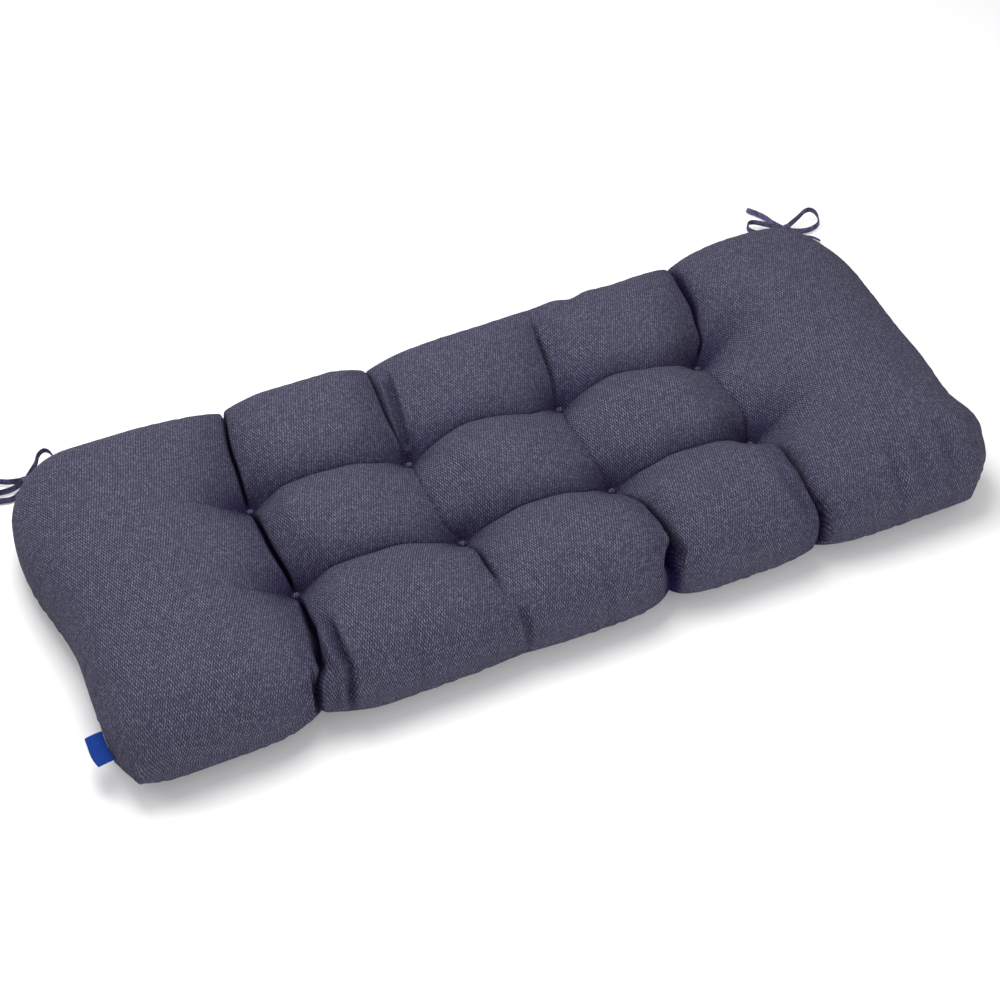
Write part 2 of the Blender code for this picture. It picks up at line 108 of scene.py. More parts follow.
def spline_point(before, start, end, after, t):
    """A point of the smooth curve that runs from start to end."""
    return 0.5 * ((2.0 * start) + (end - before) * t
                  + (2.0 * before - 5.0 * start + 4.0 * end - after) * t ** 2
                  + (3.0 * start - before - 3.0 * end + after) * t ** 3)


def smooth_route(points, step, fine_steps=12):
    """Evenly spaced points along a smooth curve through the route's own points."""
    points = [np.array(point, dtype=float) for point in points]
    ends = [2.0 * points[0] - points[1], *points, 2.0 * points[-1] - points[-2]]
    fine = [points[0]]
    for index in range(len(points) - 1):
        fine += [spline_point(*ends[index:index + 4], t / fine_steps)
                 for t in range(1, fine_steps + 1)]
    fine = np.array(fine)
    lengths = np.concatenate(([0.0], np.cumsum(np.linalg.norm(np.diff(fine, axis=0), axis=1))))
    count = max(round(lengths[-1] / step), 2)
    places = np.linspace(0.0, lengths[-1], count + 1)
    return np.stack([np.interp(places, lengths, fine[:, axis]) for axis in range(3)], axis=1)


def ease(t):
    """0 to 1 with level ends."""
    t = np.clip(t, 0.0, 1.0)
    return t * t * (3.0 - 2.0 * t)


def table_value(points, at):
    """A smooth curve through (place, value) pairs, level beyond its ends."""
    places = np.array([place for place, _ in points])
    values = np.array([value for _, value in points])
    cell = np.clip(np.searchsorted(places, at, side="left") - 1, 0, len(points) - 2)
    share = ease((at - places[cell]) / (places[cell + 1] - places[cell]))
    return values[cell] + (values[cell + 1] - values[cell]) * share


# %% [markdown]
# ## The ties
# Each tie is a narrow strap of the cushion's own cloth, folded lengthwise and stitched. Two of
# them leave the back seam beside a corner, fall to whatever the cushion lies on and are tied
# in a bow, so each strap runs from its root inside the seam to the knot, round one loop,
# through the knot again and out as a tail. A curve with a bevel could draw a strap, but its
# width has to turn on the way: flat where the seam holds it, upright in the bow. So a flat
# section is swept along the route in code, with a tilt for every step.

# %% Routes of the ties
STRAP_WIDTH = 0.0075
STRAP_THICKNESS = 0.0018
STRAP_STEP = 0.0016

Tie = namedtuple("Tie", "name root knot lead loop tail lean tail_lean")
TIES = (
    Tie("tie_right_a", (0.4829, 0.2429, 0.0460), (0.576, 0.322, 0.009),
        ((0.4921, 0.2554, 0.0460), (0.4959, 0.2629, 0.0450), (0.5073, 0.2686, 0.0357),
         (0.5167, 0.2734, 0.0240), (0.5273, 0.2788, 0.0137), (0.5403, 0.2854, 0.0076),
         (0.5545, 0.2918, 0.0055), (0.5664, 0.3016, 0.0064), (0.5728, 0.3159, 0.0083)),
        ((0.027, 0.014, 0.002), (0.040, 0.019, 0.005), (0.048, 0.017, 0.007),
         (0.053, 0.010, 0.005), (0.053, 0.001, 0.001), (0.047, -0.008, -0.001),
         (0.034, -0.011, -0.003), (0.017, -0.0095, -0.002)),
        ((-0.008, 0.023, -0.003), (-0.011, 0.039, -0.004), (-0.017, 0.052, -0.004),
         (-0.026, 0.066, -0.004)), 0.55, 0.75),
    Tie("tie_right_b", (0.4930, 0.2340, 0.0460), (0.576, 0.322, 0.009),
        ((0.5053, 0.2454, 0.0460), (0.5113, 0.2513, 0.0450), (0.5223, 0.2585, 0.0357),
         (0.5315, 0.2646, 0.0238), (0.5418, 0.2714, 0.0135), (0.5543, 0.2797, 0.0075),
         (0.5683, 0.2875, 0.0055), (0.5773, 0.2997, 0.0065), (0.5760, 0.3157, 0.0083)),
        ((-0.016, 0.017, 0.000), (-0.025, 0.024, 0.001), (-0.033, 0.031, 0.001),
         (-0.041, 0.033, 0.001), (-0.047, 0.027, 0.000), (-0.045, 0.018, -0.002),
         (-0.031, 0.007, -0.003), (-0.016, 0.002, -0.002)),
        ((0.009, -0.013, -0.003), (0.018, -0.020, -0.004), (0.027, -0.026, -0.004),
         (0.034, -0.037, -0.004)), -0.45, 0.60),
    Tie("tie_left_a", (-0.5035, 0.2304, 0.0460), (-0.527, 0.283, 0.009),
        ((-0.5057, 0.2374, 0.0460), (-0.5083, 0.2454, 0.0450), (-0.5118, 0.2484, 0.0289),
         (-0.5150, 0.2511, 0.0127), (-0.5229, 0.2603, 0.0063), (-0.5258, 0.2767, 0.0083)),
        ((0.016, 0.019, 0.004), (0.023, 0.029, 0.008), (0.031, 0.034, 0.009),
         (0.037, 0.031, 0.008), (0.040, 0.022, 0.004), (0.033, 0.014, 0.000),
         (0.020, 0.0085, -0.002)),
        ((-0.012, -0.013, -0.003), (-0.024, -0.019, -0.004), (-0.040, -0.016, -0.004),
         (-0.058, -0.009, -0.004)), 0.55, 0.50),
    Tie("tie_left_b", (-0.5234, 0.2216, 0.0460), (-0.527, 0.283, 0.009),
        ((-0.5269, 0.2275, 0.0460), (-0.5313, 0.2346, 0.0450), (-0.5320, 0.2404, 0.0286),
         (-0.5327, 0.2459, 0.0122), (-0.5333, 0.2601, 0.0063), (-0.5287, 0.2768, 0.0083)),
        ((-0.020, 0.008, -0.001), (-0.032, 0.016, -0.003), (-0.046, 0.020, -0.003),
         (-0.058, 0.017, -0.002), (-0.062, 0.010, -0.002), (-0.054, 0.003, -0.003),
         (-0.036, -0.003, -0.003), (-0.021, -0.0035, -0.003)),
        ((0.020, -0.011, -0.003), (0.034, -0.018, -0.004), (0.050, -0.020, -0.004),
         (0.064, -0.019, -0.004)), -0.45, 0.50),
)


def tie_route(tie):
    """The strap's middle line: from its root in the seam to the knot, loop, knot and tail."""
    knot = np.array(tie.knot)
    points = [np.array(place) for place in (tie.root, *tie.lead)]
    points += [knot + place for place in ((-0.001, 0.0, 0.001), *tie.loop, (0.001, 0.0, -0.001))]
    points += [knot + place for place in tie.tail]
    return smooth_route(points, STRAP_STEP)


# %% Sweep a strap along its route
# Half of the section: place across the width and half thickness, both as shares. The dips
# are the two rows of stitches that close the fold.
HALF_SECTION = ((-0.50, 0.00), (-0.485, 0.30), (-0.44, 0.44), (-0.37, 0.30), (-0.29, 0.46),
                (-0.10, 0.50), (0.10, 0.47), (0.29, 0.46), (0.37, 0.30), (0.44, 0.44),
                (0.485, 0.30), (0.50, 0.00))
STRAP_SECTION = HALF_SECTION + tuple((place, -half) for place, half in HALF_SECTION[-2:0:-1])
LEAD_TURN = 1.6           # a lead stands on edge after 1 / 1.6 of its length
TAIL_TURN_STEPS = 12.0
KNOT_SPAN = 0.009
END_TAPERS = (0.82, 0.95, 1.0)


def strap_tilts(tie, route):
    """Flat at the seam, leaning back in the loop and lying over in the tail."""
    away = np.linalg.norm(route - np.array(tie.knot), axis=1)
    in_knot = np.nonzero(away < KNOT_SPAN)[0]
    loop_start = in_knot[0]
    loop_end = in_knot[np.nonzero(np.diff(in_knot) > 1)[0][0] + 1]
    index = np.arange(len(route))
    stood_up = ease(LEAD_TURN * index / loop_start)
    lead = math.pi / 2 * (1.0 - stood_up) + stood_up * -tie.lean
    loop = -tie.lean * np.cos(math.pi * (index - loop_start) / (loop_end - loop_start))
    tail = tie.lean + (tie.tail_lean - tie.lean) * ease((index - loop_end) / TAIL_TURN_STEPS)
    return np.where(index < loop_start, lead, np.where(index < loop_end, loop, tail))


def ring_faces(start, after, count):
    """Faces between two rings of the same number of points."""
    return [(start + k, start + (k + 1) % count, after + (k + 1) % count, after + k)
            for k in range(count)]


def sweep_strap(name, route, tilts):
    tangents = np.gradient(route, axis=0)
    tangents /= np.linalg.norm(tangents, axis=1)[:, None]
    points, places, faces = [], [], []
    count = len(STRAP_SECTION)
    for index, (place, along, tilt) in enumerate(zip(route, tangents, tilts)):
        side = np.cross(along, (0.0, 0.0, 1.0))
        side /= np.linalg.norm(side)
        up = np.cross(side, along)
        wide = up * math.cos(tilt) + side * math.sin(tilt)
        thick = side * math.cos(tilt) - up * math.sin(tilt)
        from_end = min(index, len(route) - 1 - index)
        taper = END_TAPERS[min(from_end, len(END_TAPERS) - 1)]
        for across, half in STRAP_SECTION:
            points.append(place + wide * across * STRAP_WIDTH * taper
                          + thick * half * STRAP_THICKNESS * taper)
            places.append((index * STRAP_STEP, across * STRAP_WIDTH))
    last = (len(route) - 1) * count
    for start in range(0, last, count):
        faces += ring_faces(start, start + count, count)
    faces += [tuple(reversed(range(count))), tuple(range(last, last + count))]
    strap = new_piece(name, points, faces)
    set_uv(strap, places)
    return strap


def face_outward(piece):
    """Turns a closed piece's faces so that they all point out of it."""
    shell = bmesh.new()
    shell.from_mesh(piece.data)
    bmesh.ops.recalc_face_normals(shell, faces=shell.faces)
    shell.to_mesh(piece.data)
    shell.free()


# %% Make the straps
straps, routes = {}, {}
for tie in TIES:
    routes[tie.name] = tie_route(tie)
    strap = sweep_strap(tie.name, routes[tie.name], strap_tilts(tie, routes[tie.name]))
    face_outward(strap)
    side, mark = tie.name.rsplit("_", 1)
    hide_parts(*(f"{side}_{part}_{mark}" for part in ("lead", "loop", "tail")))
    straps[tie.name] = strap
    print(tie.name, "length", round((len(routes[tie.name]) - 1) * STRAP_STEP, 4),
          "m,", len(strap.data.polygons), "faces")

# %% [markdown]
# ## The knots
# A bow's knot is one turn of strap pulled tight over the place where the others cross. A plain
# ball would do from far off. Here a small crumpled core gets two closed turns of strap, a
# little crossed, so that it shows the folds of a real knot from every side.

# %% Turns of strap round a knot
KnotTurn = namedtuple("KnotTurn", "lean shift size")
KNOT_TURNS = (KnotTurn(0.10, 0.0016, 1.0), KnotTurn(-0.55, -0.0022, 0.93))
TURN_STEPS = 40
TURN_HALF_WIDTH, TURN_HALF_HEIGHT = 0.0056, 0.0062
TURN_BOW, TURN_WANDER, TURN_THICKER = 0.0022, 0.0025, 1.1
PINCH, PINCH_CHANGE = 0.70, 0.12


def knot_turn(knot, turn):
    """A closed turn of strap round the knot, as rings of its section."""
    points, faces = [], []
    count = len(STRAP_SECTION)
    lean_sine, lean_cosine = math.sin(turn.lean), math.cos(turn.lean)
    for step in range(TURN_STEPS):
        angle = 2.0 * math.pi * step / TURN_STEPS
        sine, cosine = math.sin(angle), math.cos(angle)
        middle = np.array((turn.shift + lean_sine * (TURN_WANDER * sine + TURN_BOW * cosine),
                           cosine * TURN_HALF_WIDTH * turn.size,
                           sine * TURN_HALF_HEIGHT * turn.size))
        wide = np.array((lean_cosine, -lean_sine * sine, lean_sine * cosine))
        outward = np.array((0.0, cosine, sine))
        pinch = PINCH + PINCH_CHANGE * math.cos(2.0 * angle + 3.0 * turn.lean)
        for across, half in STRAP_SECTION:
            points.append(np.array(knot) + middle + wide * across * STRAP_WIDTH * pinch
                          + outward * half * STRAP_THICKNESS * TURN_THICKER)
        faces += ring_faces(step * count, (step + 1) % TURN_STEPS * count, count)
    return points, faces


# %% Tie the knots
KNOT_CORE = (0.0072, 0.0052, 0.0056)
CRUMPLE, CRUMPLES, KNOTS_APART = 0.07, 2.3, 40.0


def make_knot(name, knot):
    core = bmesh.new()
    bmesh.ops.create_icosphere(core, subdivisions=4, radius=1.0)
    points = []
    for vertex in core.verts:
        crumple = 1.0 + CRUMPLE * noise.noise(vertex.co * CRUMPLES + Vector(knot) * KNOTS_APART)
        points.append([at + part * size * crumple
                       for at, part, size in zip(knot, vertex.co, KNOT_CORE)])
    faces = [tuple(vertex.index for vertex in face.verts) for face in core.faces]
    core.free()
    for turn in KNOT_TURNS:
        turn_points, turn_faces = knot_turn(knot, turn)
        first = len(points)
        points += turn_points
        faces += [tuple(first + corner for corner in face) for face in turn_faces]
    piece = new_piece(name, points, faces)
    set_uv(piece, [(point[0] + point[2], point[1]) for point in points])
    face_outward(piece)
    return piece


knots = {}
for side in ("tie_right", "tie_left"):
    place = next(tie.knot for tie in TIES if tie.name.startswith(side))
    knots[side] = make_knot(f"{side}_bow_knot", place)
    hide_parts(f"{side}_knot")
print(len(knots), "knots of", len(knots["tie_right"].data.polygons), "faces each")

# %% [markdown]
# ## The cushion's shape
# The cushion is two cloth panels sewn edge to edge round a soft filling, then tacked down at
# eight places. One way would be to sculpt it. Here the two panels are grids whose lines follow
# the creases, because then each crease is a clean line of edges, and a few named numbers
# say how high a puff stands, how deep a crease is and how far the outline draws in.

# %% Sizes of the cushion
HALF_LENGTH, HALF_DEPTH = 1.118 / 2, 0.483 / 2
CROWN = 0.127
SEAM_HEIGHT = 0.046
TACK_HEIGHT, UNDER_TACK_HEIGHT = 0.055, 0.023
SHOULDER = 0.074                  # how far in from the seam the crown is reached
BACK_CORNERS = (0.085, 0.112)     # size of the round corner, left and right
FRONT_CUTS = (0.008, 0.058)       # size of the straight cut, left and right
SETTLE = 0.014                    # how far the floor presses the puffs flat from below
COLUMN_X = (-0.302, -0.103, 0.103, 0.302)
ROW_Y = (-0.075, 0.077)
print("seam to seam", 2 * HALF_LENGTH, "by", 2 * HALF_DEPTH, "m, crown", CROWN, "m")

# %% The creases
# One row for each column of tacks, with short tables along its length (y, value): how far the
# crease leaves its straight line, the shares of the height that its soft dip and its sharp fold
# take, how much wider it is on its left than on its right, how deep a slit closes between its
# two puffs, and how far that slit's mouth stands open. The notches are how far it draws in the
# outline at its two ends.
Crease = namedtuple("Crease", "x shifts dip fold lean slit mouth back_notch front_notch")
CREASES = (
    Crease(COLUMN_X[0],
           ((-HALF_DEPTH, -0.034), (-0.214, -0.018), (-0.150, -0.009), (ROW_Y[0], 0.000),
            (0.000, -0.007), (ROW_Y[1], -0.001), (0.140, 0.003), (HALF_DEPTH, 0.018)),
           ((-HALF_DEPTH, 0.20), (ROW_Y[0], 0.42), (0.0, 0.38), (ROW_Y[1], 0.42),
            (HALF_DEPTH, 0.13)),
           ((-HALF_DEPTH, 0.20), (-0.170, 0.32), (0.0, 0.36), (0.170, 0.34),
            (HALF_DEPTH, 0.22)),
           ((-HALF_DEPTH, 0.2), (-0.150, 0.5), (ROW_Y[1], 0.5), (HALF_DEPTH, 0.3)),
           ((-0.232, 0.008), (-0.200, 0.020), (-0.060, 0.018), (0.0, 0.014), (0.170, 0.013),
            (HALF_DEPTH, 0.008)),
           ((-0.200, 0.0012), (-0.100, 0.0)),
           0.005, 0.016),
    Crease(COLUMN_X[1],
           ((-HALF_DEPTH, 0.018), (-0.214, 0.001), (-0.160, 0.002), (ROW_Y[0], 0.006),
            (-0.043, -0.007), (0.000, -0.010), (ROW_Y[1], -0.001), (0.129, -0.004),
            (HALF_DEPTH, 0.003)),
           ((-HALF_DEPTH, 0.05), (-0.150, 0.14), (ROW_Y[0], 0.36), (0.0, 0.38),
            (ROW_Y[1], 0.36), (HALF_DEPTH, 0.12)),
           ((-HALF_DEPTH, 0.02), (-0.200, 0.06), (-0.150, 0.24), (ROW_Y[0], 0.28), (0.0, 0.14),
            (ROW_Y[1], 0.28), (HALF_DEPTH, 0.30)),
           ((-HALF_DEPTH, 0.0), (ROW_Y[0], 0.0), (0.0, 0.2), (ROW_Y[1], 0.0),
            (0.120, -0.4), (HALF_DEPTH, -0.4)),
           ((-0.215, 0.0), (-0.150, 0.006), (ROW_Y[0], 0.003), (-0.040, 0.0), (0.040, 0.0),
            (ROW_Y[1], 0.004), (0.150, 0.010), (HALF_DEPTH, 0.010)),
           ((-HALF_DEPTH, 0.0), (HALF_DEPTH, 0.0)),
           0.009, 0.003),
    Crease(COLUMN_X[2],
           ((-HALF_DEPTH, -0.002), (-0.205, 0.008), (-0.155, 0.004), (-0.126, -0.006),
            (ROW_Y[0], -0.003), (-0.022, -0.011), (0.012, -0.015), (ROW_Y[1], 0.001),
            (0.128, 0.009), (0.158, 0.011), (HALF_DEPTH, 0.024)),
           ((-HALF_DEPTH, 0.04), (-0.150, 0.14), (ROW_Y[0], 0.36), (0.0, 0.36),
            (ROW_Y[1], 0.36), (HALF_DEPTH, -0.04)),
           ((-HALF_DEPTH, 0.36), (-0.150, 0.36), (ROW_Y[0], 0.28), (0.0, 0.14),
            (ROW_Y[1], 0.28), (0.150, 0.26), (0.205, 0.02), (HALF_DEPTH, 0.0)),
           ((-HALF_DEPTH, 0.0), (ROW_Y[0], 0.0), (ROW_Y[1], 0.2), (HALF_DEPTH, 0.2)),
           ((-HALF_DEPTH, 0.005), (-0.231, 0.030), (-0.205, 0.020), (-0.140, 0.012),
            (ROW_Y[0], 0.003), (-0.030, 0.0), (0.040, 0.0), (ROW_Y[1], 0.003),
            (0.150, 0.004), (0.195, 0.0)),
           ((-HALF_DEPTH, 0.0060), (-0.205, 0.0004), (-0.140, 0.0004), (-0.100, 0.0)),
           0.003, 0.012),
    Crease(COLUMN_X[3],
           ((-HALF_DEPTH, -0.006), (-0.209, -0.013), (-0.179, -0.011), (-0.140, -0.007),
            (ROW_Y[0], -0.011), (-0.040, -0.004), (0.012, -0.013), (ROW_Y[1], -0.006),
            (0.108, 0.015), (0.152, 0.025), (HALF_DEPTH, 0.036)),
           ((-HALF_DEPTH, 0.05), (-0.150, 0.14), (ROW_Y[0], 0.36), (0.0, 0.36),
            (ROW_Y[1], 0.36), (HALF_DEPTH, 0.08)),
           ((-HALF_DEPTH, 0.34), (-0.150, 0.34), (ROW_Y[0], 0.28), (0.0, 0.16),
            (ROW_Y[1], 0.28), (HALF_DEPTH, 0.26)),
           ((-HALF_DEPTH, -0.3), (-0.150, -0.4), (ROW_Y[0], -0.2), (ROW_Y[1], -0.1),
            (HALF_DEPTH, -0.3)),
           ((-HALF_DEPTH, 0.018), (-0.200, 0.016), (-0.140, 0.012), (ROW_Y[0], 0.003),
            (-0.030, 0.0), (0.040, 0.0), (ROW_Y[1], 0.004), (0.150, 0.014),
            (HALF_DEPTH, 0.010)),
           ((-HALF_DEPTH, 0.0022), (-0.200, 0.0006), (-0.150, 0.0012), (-0.100, 0.0),
            (0.100, 0.0), (0.180, 0.0026), (HALF_DEPTH, 0.0010)),
           0.004, 0.008),
)
# The rows of tacks aren't quite straight either: how far each one leaves its line, along x.
ROW_SHIFTS = (
    ((COLUMN_X[0], 0.001), (-0.200, -0.004), (-0.140, -0.008), (COLUMN_X[1], -0.004),
     (-0.030, -0.008), (0.050, -0.011), (COLUMN_X[2], -0.001), (0.170, -0.007),
     (0.240, -0.010), (COLUMN_X[3], 0.000)),
    ((COLUMN_X[0], -0.004), (-0.240, -0.010), (-0.160, -0.014), (COLUMN_X[1], -0.010),
     (-0.040, -0.006), (0.050, -0.014), (COLUMN_X[2], 0.001), (0.170, -0.005),
     (0.240, -0.016), (COLUMN_X[3], -0.005)),
)
print(len(CREASES), "creases across and", len(ROW_SHIFTS), "rows of tacks")

# %% Reaches of the creases, bays and outline
# How far a dip and a fold reach to either side, and how round the puff beside a fold is. A row
# of tacks dips and folds more near a column (the second of two shares) than between two, has a
# gentler back slope, and fades beyond the last column.
CREASE_REACH, ROW_REACH = 0.085, 0.075
FOLD_REACH, FOLD_ROUND = 0.034, 0.42
ROW_DIP, ROW_FOLD, ROW_NEAR = (0.26, 0.34), (0.19, 0.27), 0.080
ROW_LEAN, ROW_BACK_ROUND, ROW_FADE = -0.16, 0.62, 0.092
# A tack's dimple: a flat seat, then a funnel up to the puffs.
FUNNEL_SLOPE, FUNNEL_BLEND, FLOOR_OF_DIMPLE = 1.10, 0.010, 0.0045
SEAT_BLEND, UNDER_DIMPLE_REACH = 0.005, 0.050
# The outline draws in where a crease ends, and its bulges die out quickly towards the middle.
NOTCH_REACH, NOTCH_SHARPNESS = 0.060, 1.7
EDGE_GRIP = 3

# A bay lies between two creases, or a crease and an end: its place, its share of the crown, and
# how far its front and back edge stand out. The two ends stand out or in as well, at a few
# places from front to back.
Bay = namedtuple("Bay", "x crown front back")
BAYS = (
    Bay(-0.430, 0.98, 0.000, 0.000),
    Bay(-0.203, 0.95, 0.001, 0.001),
    Bay(0.000, 0.96, 0.002, 0.001),
    Bay(0.203, 0.98, 0.002, 0.002),
    Bay(0.405, 1.05, 0.006, 0.018),
)
Side = namedtuple("Side", "y left right")
SIDES = (
    Side(-HALF_DEPTH, -0.012, 0.007),
    Side(-0.183, 0.002, -0.006),
    Side(-0.140, 0.001, -0.015),
    Side(-0.050, -0.002, -0.006),
    Side(0.110, 0.018, 0.002),
    Side(HALF_DEPTH, 0.006, -0.021),
)
print(len(BAYS), "bays, crowned", [round(CROWN * bay.crown, 3) for bay in BAYS], "m")


# %% Heights left by the creases
def puff(distance, reach, roundness):
    """Round profile of a puff: 0 in the crease, 1 on its crown."""
    s = np.minimum(distance / reach, 1.0)
    return (s * (2.0 - s)) ** roundness


def dip_and_fold(distance, reach, dip, fold, roundness=FOLD_ROUND):
    """Height left across a crease: a soft dip with a sharp fold along its bottom."""
    soft = 1.0 - ease(distance / reach)
    sharp = 1.0 - puff(distance, FOLD_REACH, roundness)
    return 1.0 - dip * soft - fold * sharp


def height_left(x, y):
    """Share of the height that the column creases and the row creases leave."""
    share = np.ones_like(x)
    for crease in CREASES:
        offset = x - crease.x
        distance = np.abs(offset) / (1.0 - np.sign(offset) * table_value(crease.lean, y))
        share *= dip_and_fold(distance, CREASE_REACH,
                              table_value(crease.dip, y), table_value(crease.fold, y))
    fading = 1.0 - ease((np.abs(x) - COLUMN_X[-1]) / ROW_FADE)
    near_column = np.min([np.abs(x - column) for column in COLUMN_X], axis=0)
    near = 1.0 - ease(near_column / ROW_NEAR)
    dip = fading * (ROW_DIP[0] + (ROW_DIP[1] - ROW_DIP[0]) * near)
    fold = fading * (ROW_FOLD[0] + (ROW_FOLD[1] - ROW_FOLD[0]) * near)
    for row in ROW_Y:
        distance = np.abs(y - row) / (1.0 - np.sign(y - row) * ROW_LEAN)
        roundness = np.where(y > row, ROW_BACK_ROUND, FOLD_ROUND)
        share *= dip_and_fold(distance, ROW_REACH, dip, fold, roundness)
    return share


# %% Heights of the panels
def shoulder(inward):
    """Rounded rise from the seam to the crown."""
    s = np.minimum(inward / SHOULDER, 1.0)
    return np.sqrt(np.maximum(s * (2.0 - s), 0.0))


def bay_value(column, x):
    return table_value([(bay.x, getattr(bay, column)) for bay in BAYS], x)


def nearest_tack(x, y):
    return np.min([np.hypot(x - column, y - row) for column in COLUMN_X for row in ROW_Y], axis=0)


def soft_min(first, second, blend):
    """The lower of two heights, rounded over where they cross."""
    overlap = np.maximum(blend - np.abs(first - second), 0.0) / blend
    return np.minimum(first, second) - overlap ** 2 * blend / 4.0


def drawn_down(height, target, distance):
    """A height pulled down to a tack: flat on its seat, then up like a funnel."""
    funnel = target + np.maximum(distance - FLOOR_OF_DIMPLE, 0.0) * FUNNEL_SLOPE
    drawn = soft_min(height, funnel, FUNNEL_BLEND)
    return target + (drawn - target) * ease((distance - FLOOR_OF_DIMPLE) / SEAT_BLEND)


def pulled_up(height, target, distance):
    """The bottom panel's dimple under a tack."""
    s = np.clip((distance - FLOOR_OF_DIMPLE) / UNDER_DIMPLE_REACH, 0.0, 1.0)
    return target + (height - target) * np.sqrt(s * (2.0 - s))


def panel_height(x, y, top):
    edge = shoulder(HALF_LENGTH - np.abs(x)) * shoulder(HALF_DEPTH - np.abs(y))
    left = edge * height_left(x, y)
    if top:
        height = SEAM_HEIGHT + (CROWN * bay_value("crown", x) - SEAM_HEIGHT) * left
        return drawn_down(height, TACK_HEIGHT, nearest_tack(x, y))
    height = np.maximum(SEAM_HEIGHT - (SEAM_HEIGHT + SETTLE) * left, 0.0)
    return pulled_up(height, UNDER_TACK_HEIGHT, nearest_tack(x, y))


for spot, x, y in (("middle puff", 0.0, 0.0), ("tack", COLUMN_X[1], ROW_Y[0])):
    print(spot, "stands", round(panel_height(np.array([x]), np.array([y]), True).item(), 4), "m")


# %% Where the panels' points lie, seen from above
def between_lines(at, places, shifts):
    """Shifts given on a few lines, spread evenly over the bays between the lines."""
    moved = np.zeros_like(at)
    for left, right, low, high in zip(places, places[1:], shifts, shifts[1:]):
        inside = (at >= left) & (at <= right)
        moved = np.where(inside, low + (high - low) * (at - left) / (right - left), moved)
    return moved


def bay_shift(x, y):
    """How far the wandering columns and rows move a point."""
    still = np.zeros_like(x)
    columns = [still, *(table_value(crease.shifts, y) for crease in CREASES), still]
    rows = [still, *(table_value(shifts, x) for shifts in ROW_SHIFTS), still]
    return (between_lines(x, (-HALF_LENGTH, *COLUMN_X, HALF_LENGTH), columns),
            between_lines(y, (-HALF_DEPTH, *ROW_Y, HALF_DEPTH), rows))


def fit_corner(x, y):
    """Moves a point of the rectangle so that the outline gets its corners."""
    fitted_x, fitted_y = x.copy(), y.copy()
    for side_x, side_y, size in ((-1, 1, BACK_CORNERS[0]), (1, 1, BACK_CORNERS[1]),
                                 (-1, -1, FRONT_CUTS[0]), (1, -1, FRONT_CUTS[1])):
        inner_x, inner_y = HALF_LENGTH - size, HALF_DEPTH - size
        p, q = (x * side_x - inner_x) / size, (y * side_y - inner_y) / size
        inside = (p > 0.0) & (q > 0.0)
        p, q = np.clip(p, 0.0, 1.0), np.clip(q, 0.0, 1.0)
        if side_y > 0:
            round_p, round_q = p * np.sqrt(1.0 - q * q / 2.0), q * np.sqrt(1.0 - p * p / 2.0)
        else:
            round_p, round_q = p * (1.0 - q / 2.0), q * (1.0 - p / 2.0)
        fitted_x = np.where(inside, side_x * (inner_x + round_p * size), fitted_x)
        fitted_y = np.where(inside, side_y * (inner_y + round_q * size), fitted_y)
    return fitted_x, fitted_y


def edge_bulge(x, y):
    """How far the front or back outline stands out: bays out, crease ends in."""
    back = y > 0.0
    bulge = np.where(back, bay_value("back", x), bay_value("front", x))
    for crease in CREASES:
        notch = np.where(back, crease.back_notch, crease.front_notch)
        near = np.maximum(1.0 - np.abs(x - crease.x) / NOTCH_REACH, 0.0)
        bulge = bulge - notch * near ** NOTCH_SHARPNESS
    return bulge


def plan_place(x, y):
    corner_x, corner_y = fit_corner(x, y)
    left = table_value([(side.y, side.left) for side in SIDES], y)
    right = table_value([(side.y, side.right) for side in SIDES], y)
    end_bulge = np.where(x < 0.0, left, right) * (np.abs(x) / HALF_LENGTH) ** EDGE_GRIP
    long_bulge = edge_bulge(x, y) * (np.abs(y) / HALF_DEPTH) ** EDGE_GRIP
    shift_x, shift_y = bay_shift(x, y)
    return (corner_x + shift_x + np.sign(x) * end_bulge,
            corner_y + shift_y + np.sign(y) * long_bulge)


# %% Lay out the two panels
BAY_STEPS = (100, 96, 96, 96, 100)
ROW_STEPS = (46, 42, 46)
CLOSE_LINES, CLOSE_REACH, FINE_LINES = 4.0, 0.022, 400


def bunched_lines(edges, steps):
    """Mesh lines over several bays, closer together near the bays' edges."""
    lines = [edges[0]]
    for start, end, count in zip(edges, edges[1:], steps):
        fine = np.linspace(start, end, FINE_LINES)
        near = np.minimum(fine - start, end - fine)
        wanted = np.cumsum(1.0 + CLOSE_LINES * np.exp(-(near / CLOSE_REACH) ** 2))
        share = (wanted - wanted[0]) / (wanted[-1] - wanted[0])
        lines += np.interp(np.arange(1, count) / count, share, fine).tolist() + [end]
    return np.array(lines)


LINES_X = bunched_lines((-HALF_LENGTH, *COLUMN_X, HALF_LENGTH), BAY_STEPS)
LINES_Y = bunched_lines((-HALF_DEPTH, *ROW_Y, HALF_DEPTH), ROW_STEPS)
PATTERN_X, PATTERN_Y = np.meshgrid(LINES_X, LINES_Y)
ROWS, COLUMNS = PATTERN_X.shape


def panel_points(top):
    place_x, place_y = plan_place(PATTERN_X, PATTERN_Y)
    return np.stack([place_x, place_y, panel_height(PATTERN_X, PATTERN_Y, top)], axis=-1)


top_panel = panel_points(True)
bottom_panel = panel_points(False)
print("panels of", COLUMNS, "by", ROWS, "points")


# %% [markdown]
# ## Sewing the panels together
# The two panels share the points of their border, which is the seam. The pattern of the cloth
# could be projected from above, but then the weave would stretch on every slope. So it is laid
# on by the real distances along the surface, and keeps its size on a puff and down a slit.

# %% Join two panels at their border
BORDER = np.zeros((ROWS, COLUMNS), dtype=bool)
BORDER[[0, -1], :] = BORDER[:, [0, -1]] = True


def of_both(top, bottom, border):
    """One value for each point of the joined panels: all of the top's, then the bottom's."""
    return np.concatenate([top.reshape(-1, *top.shape[2:]), bottom[~border]])


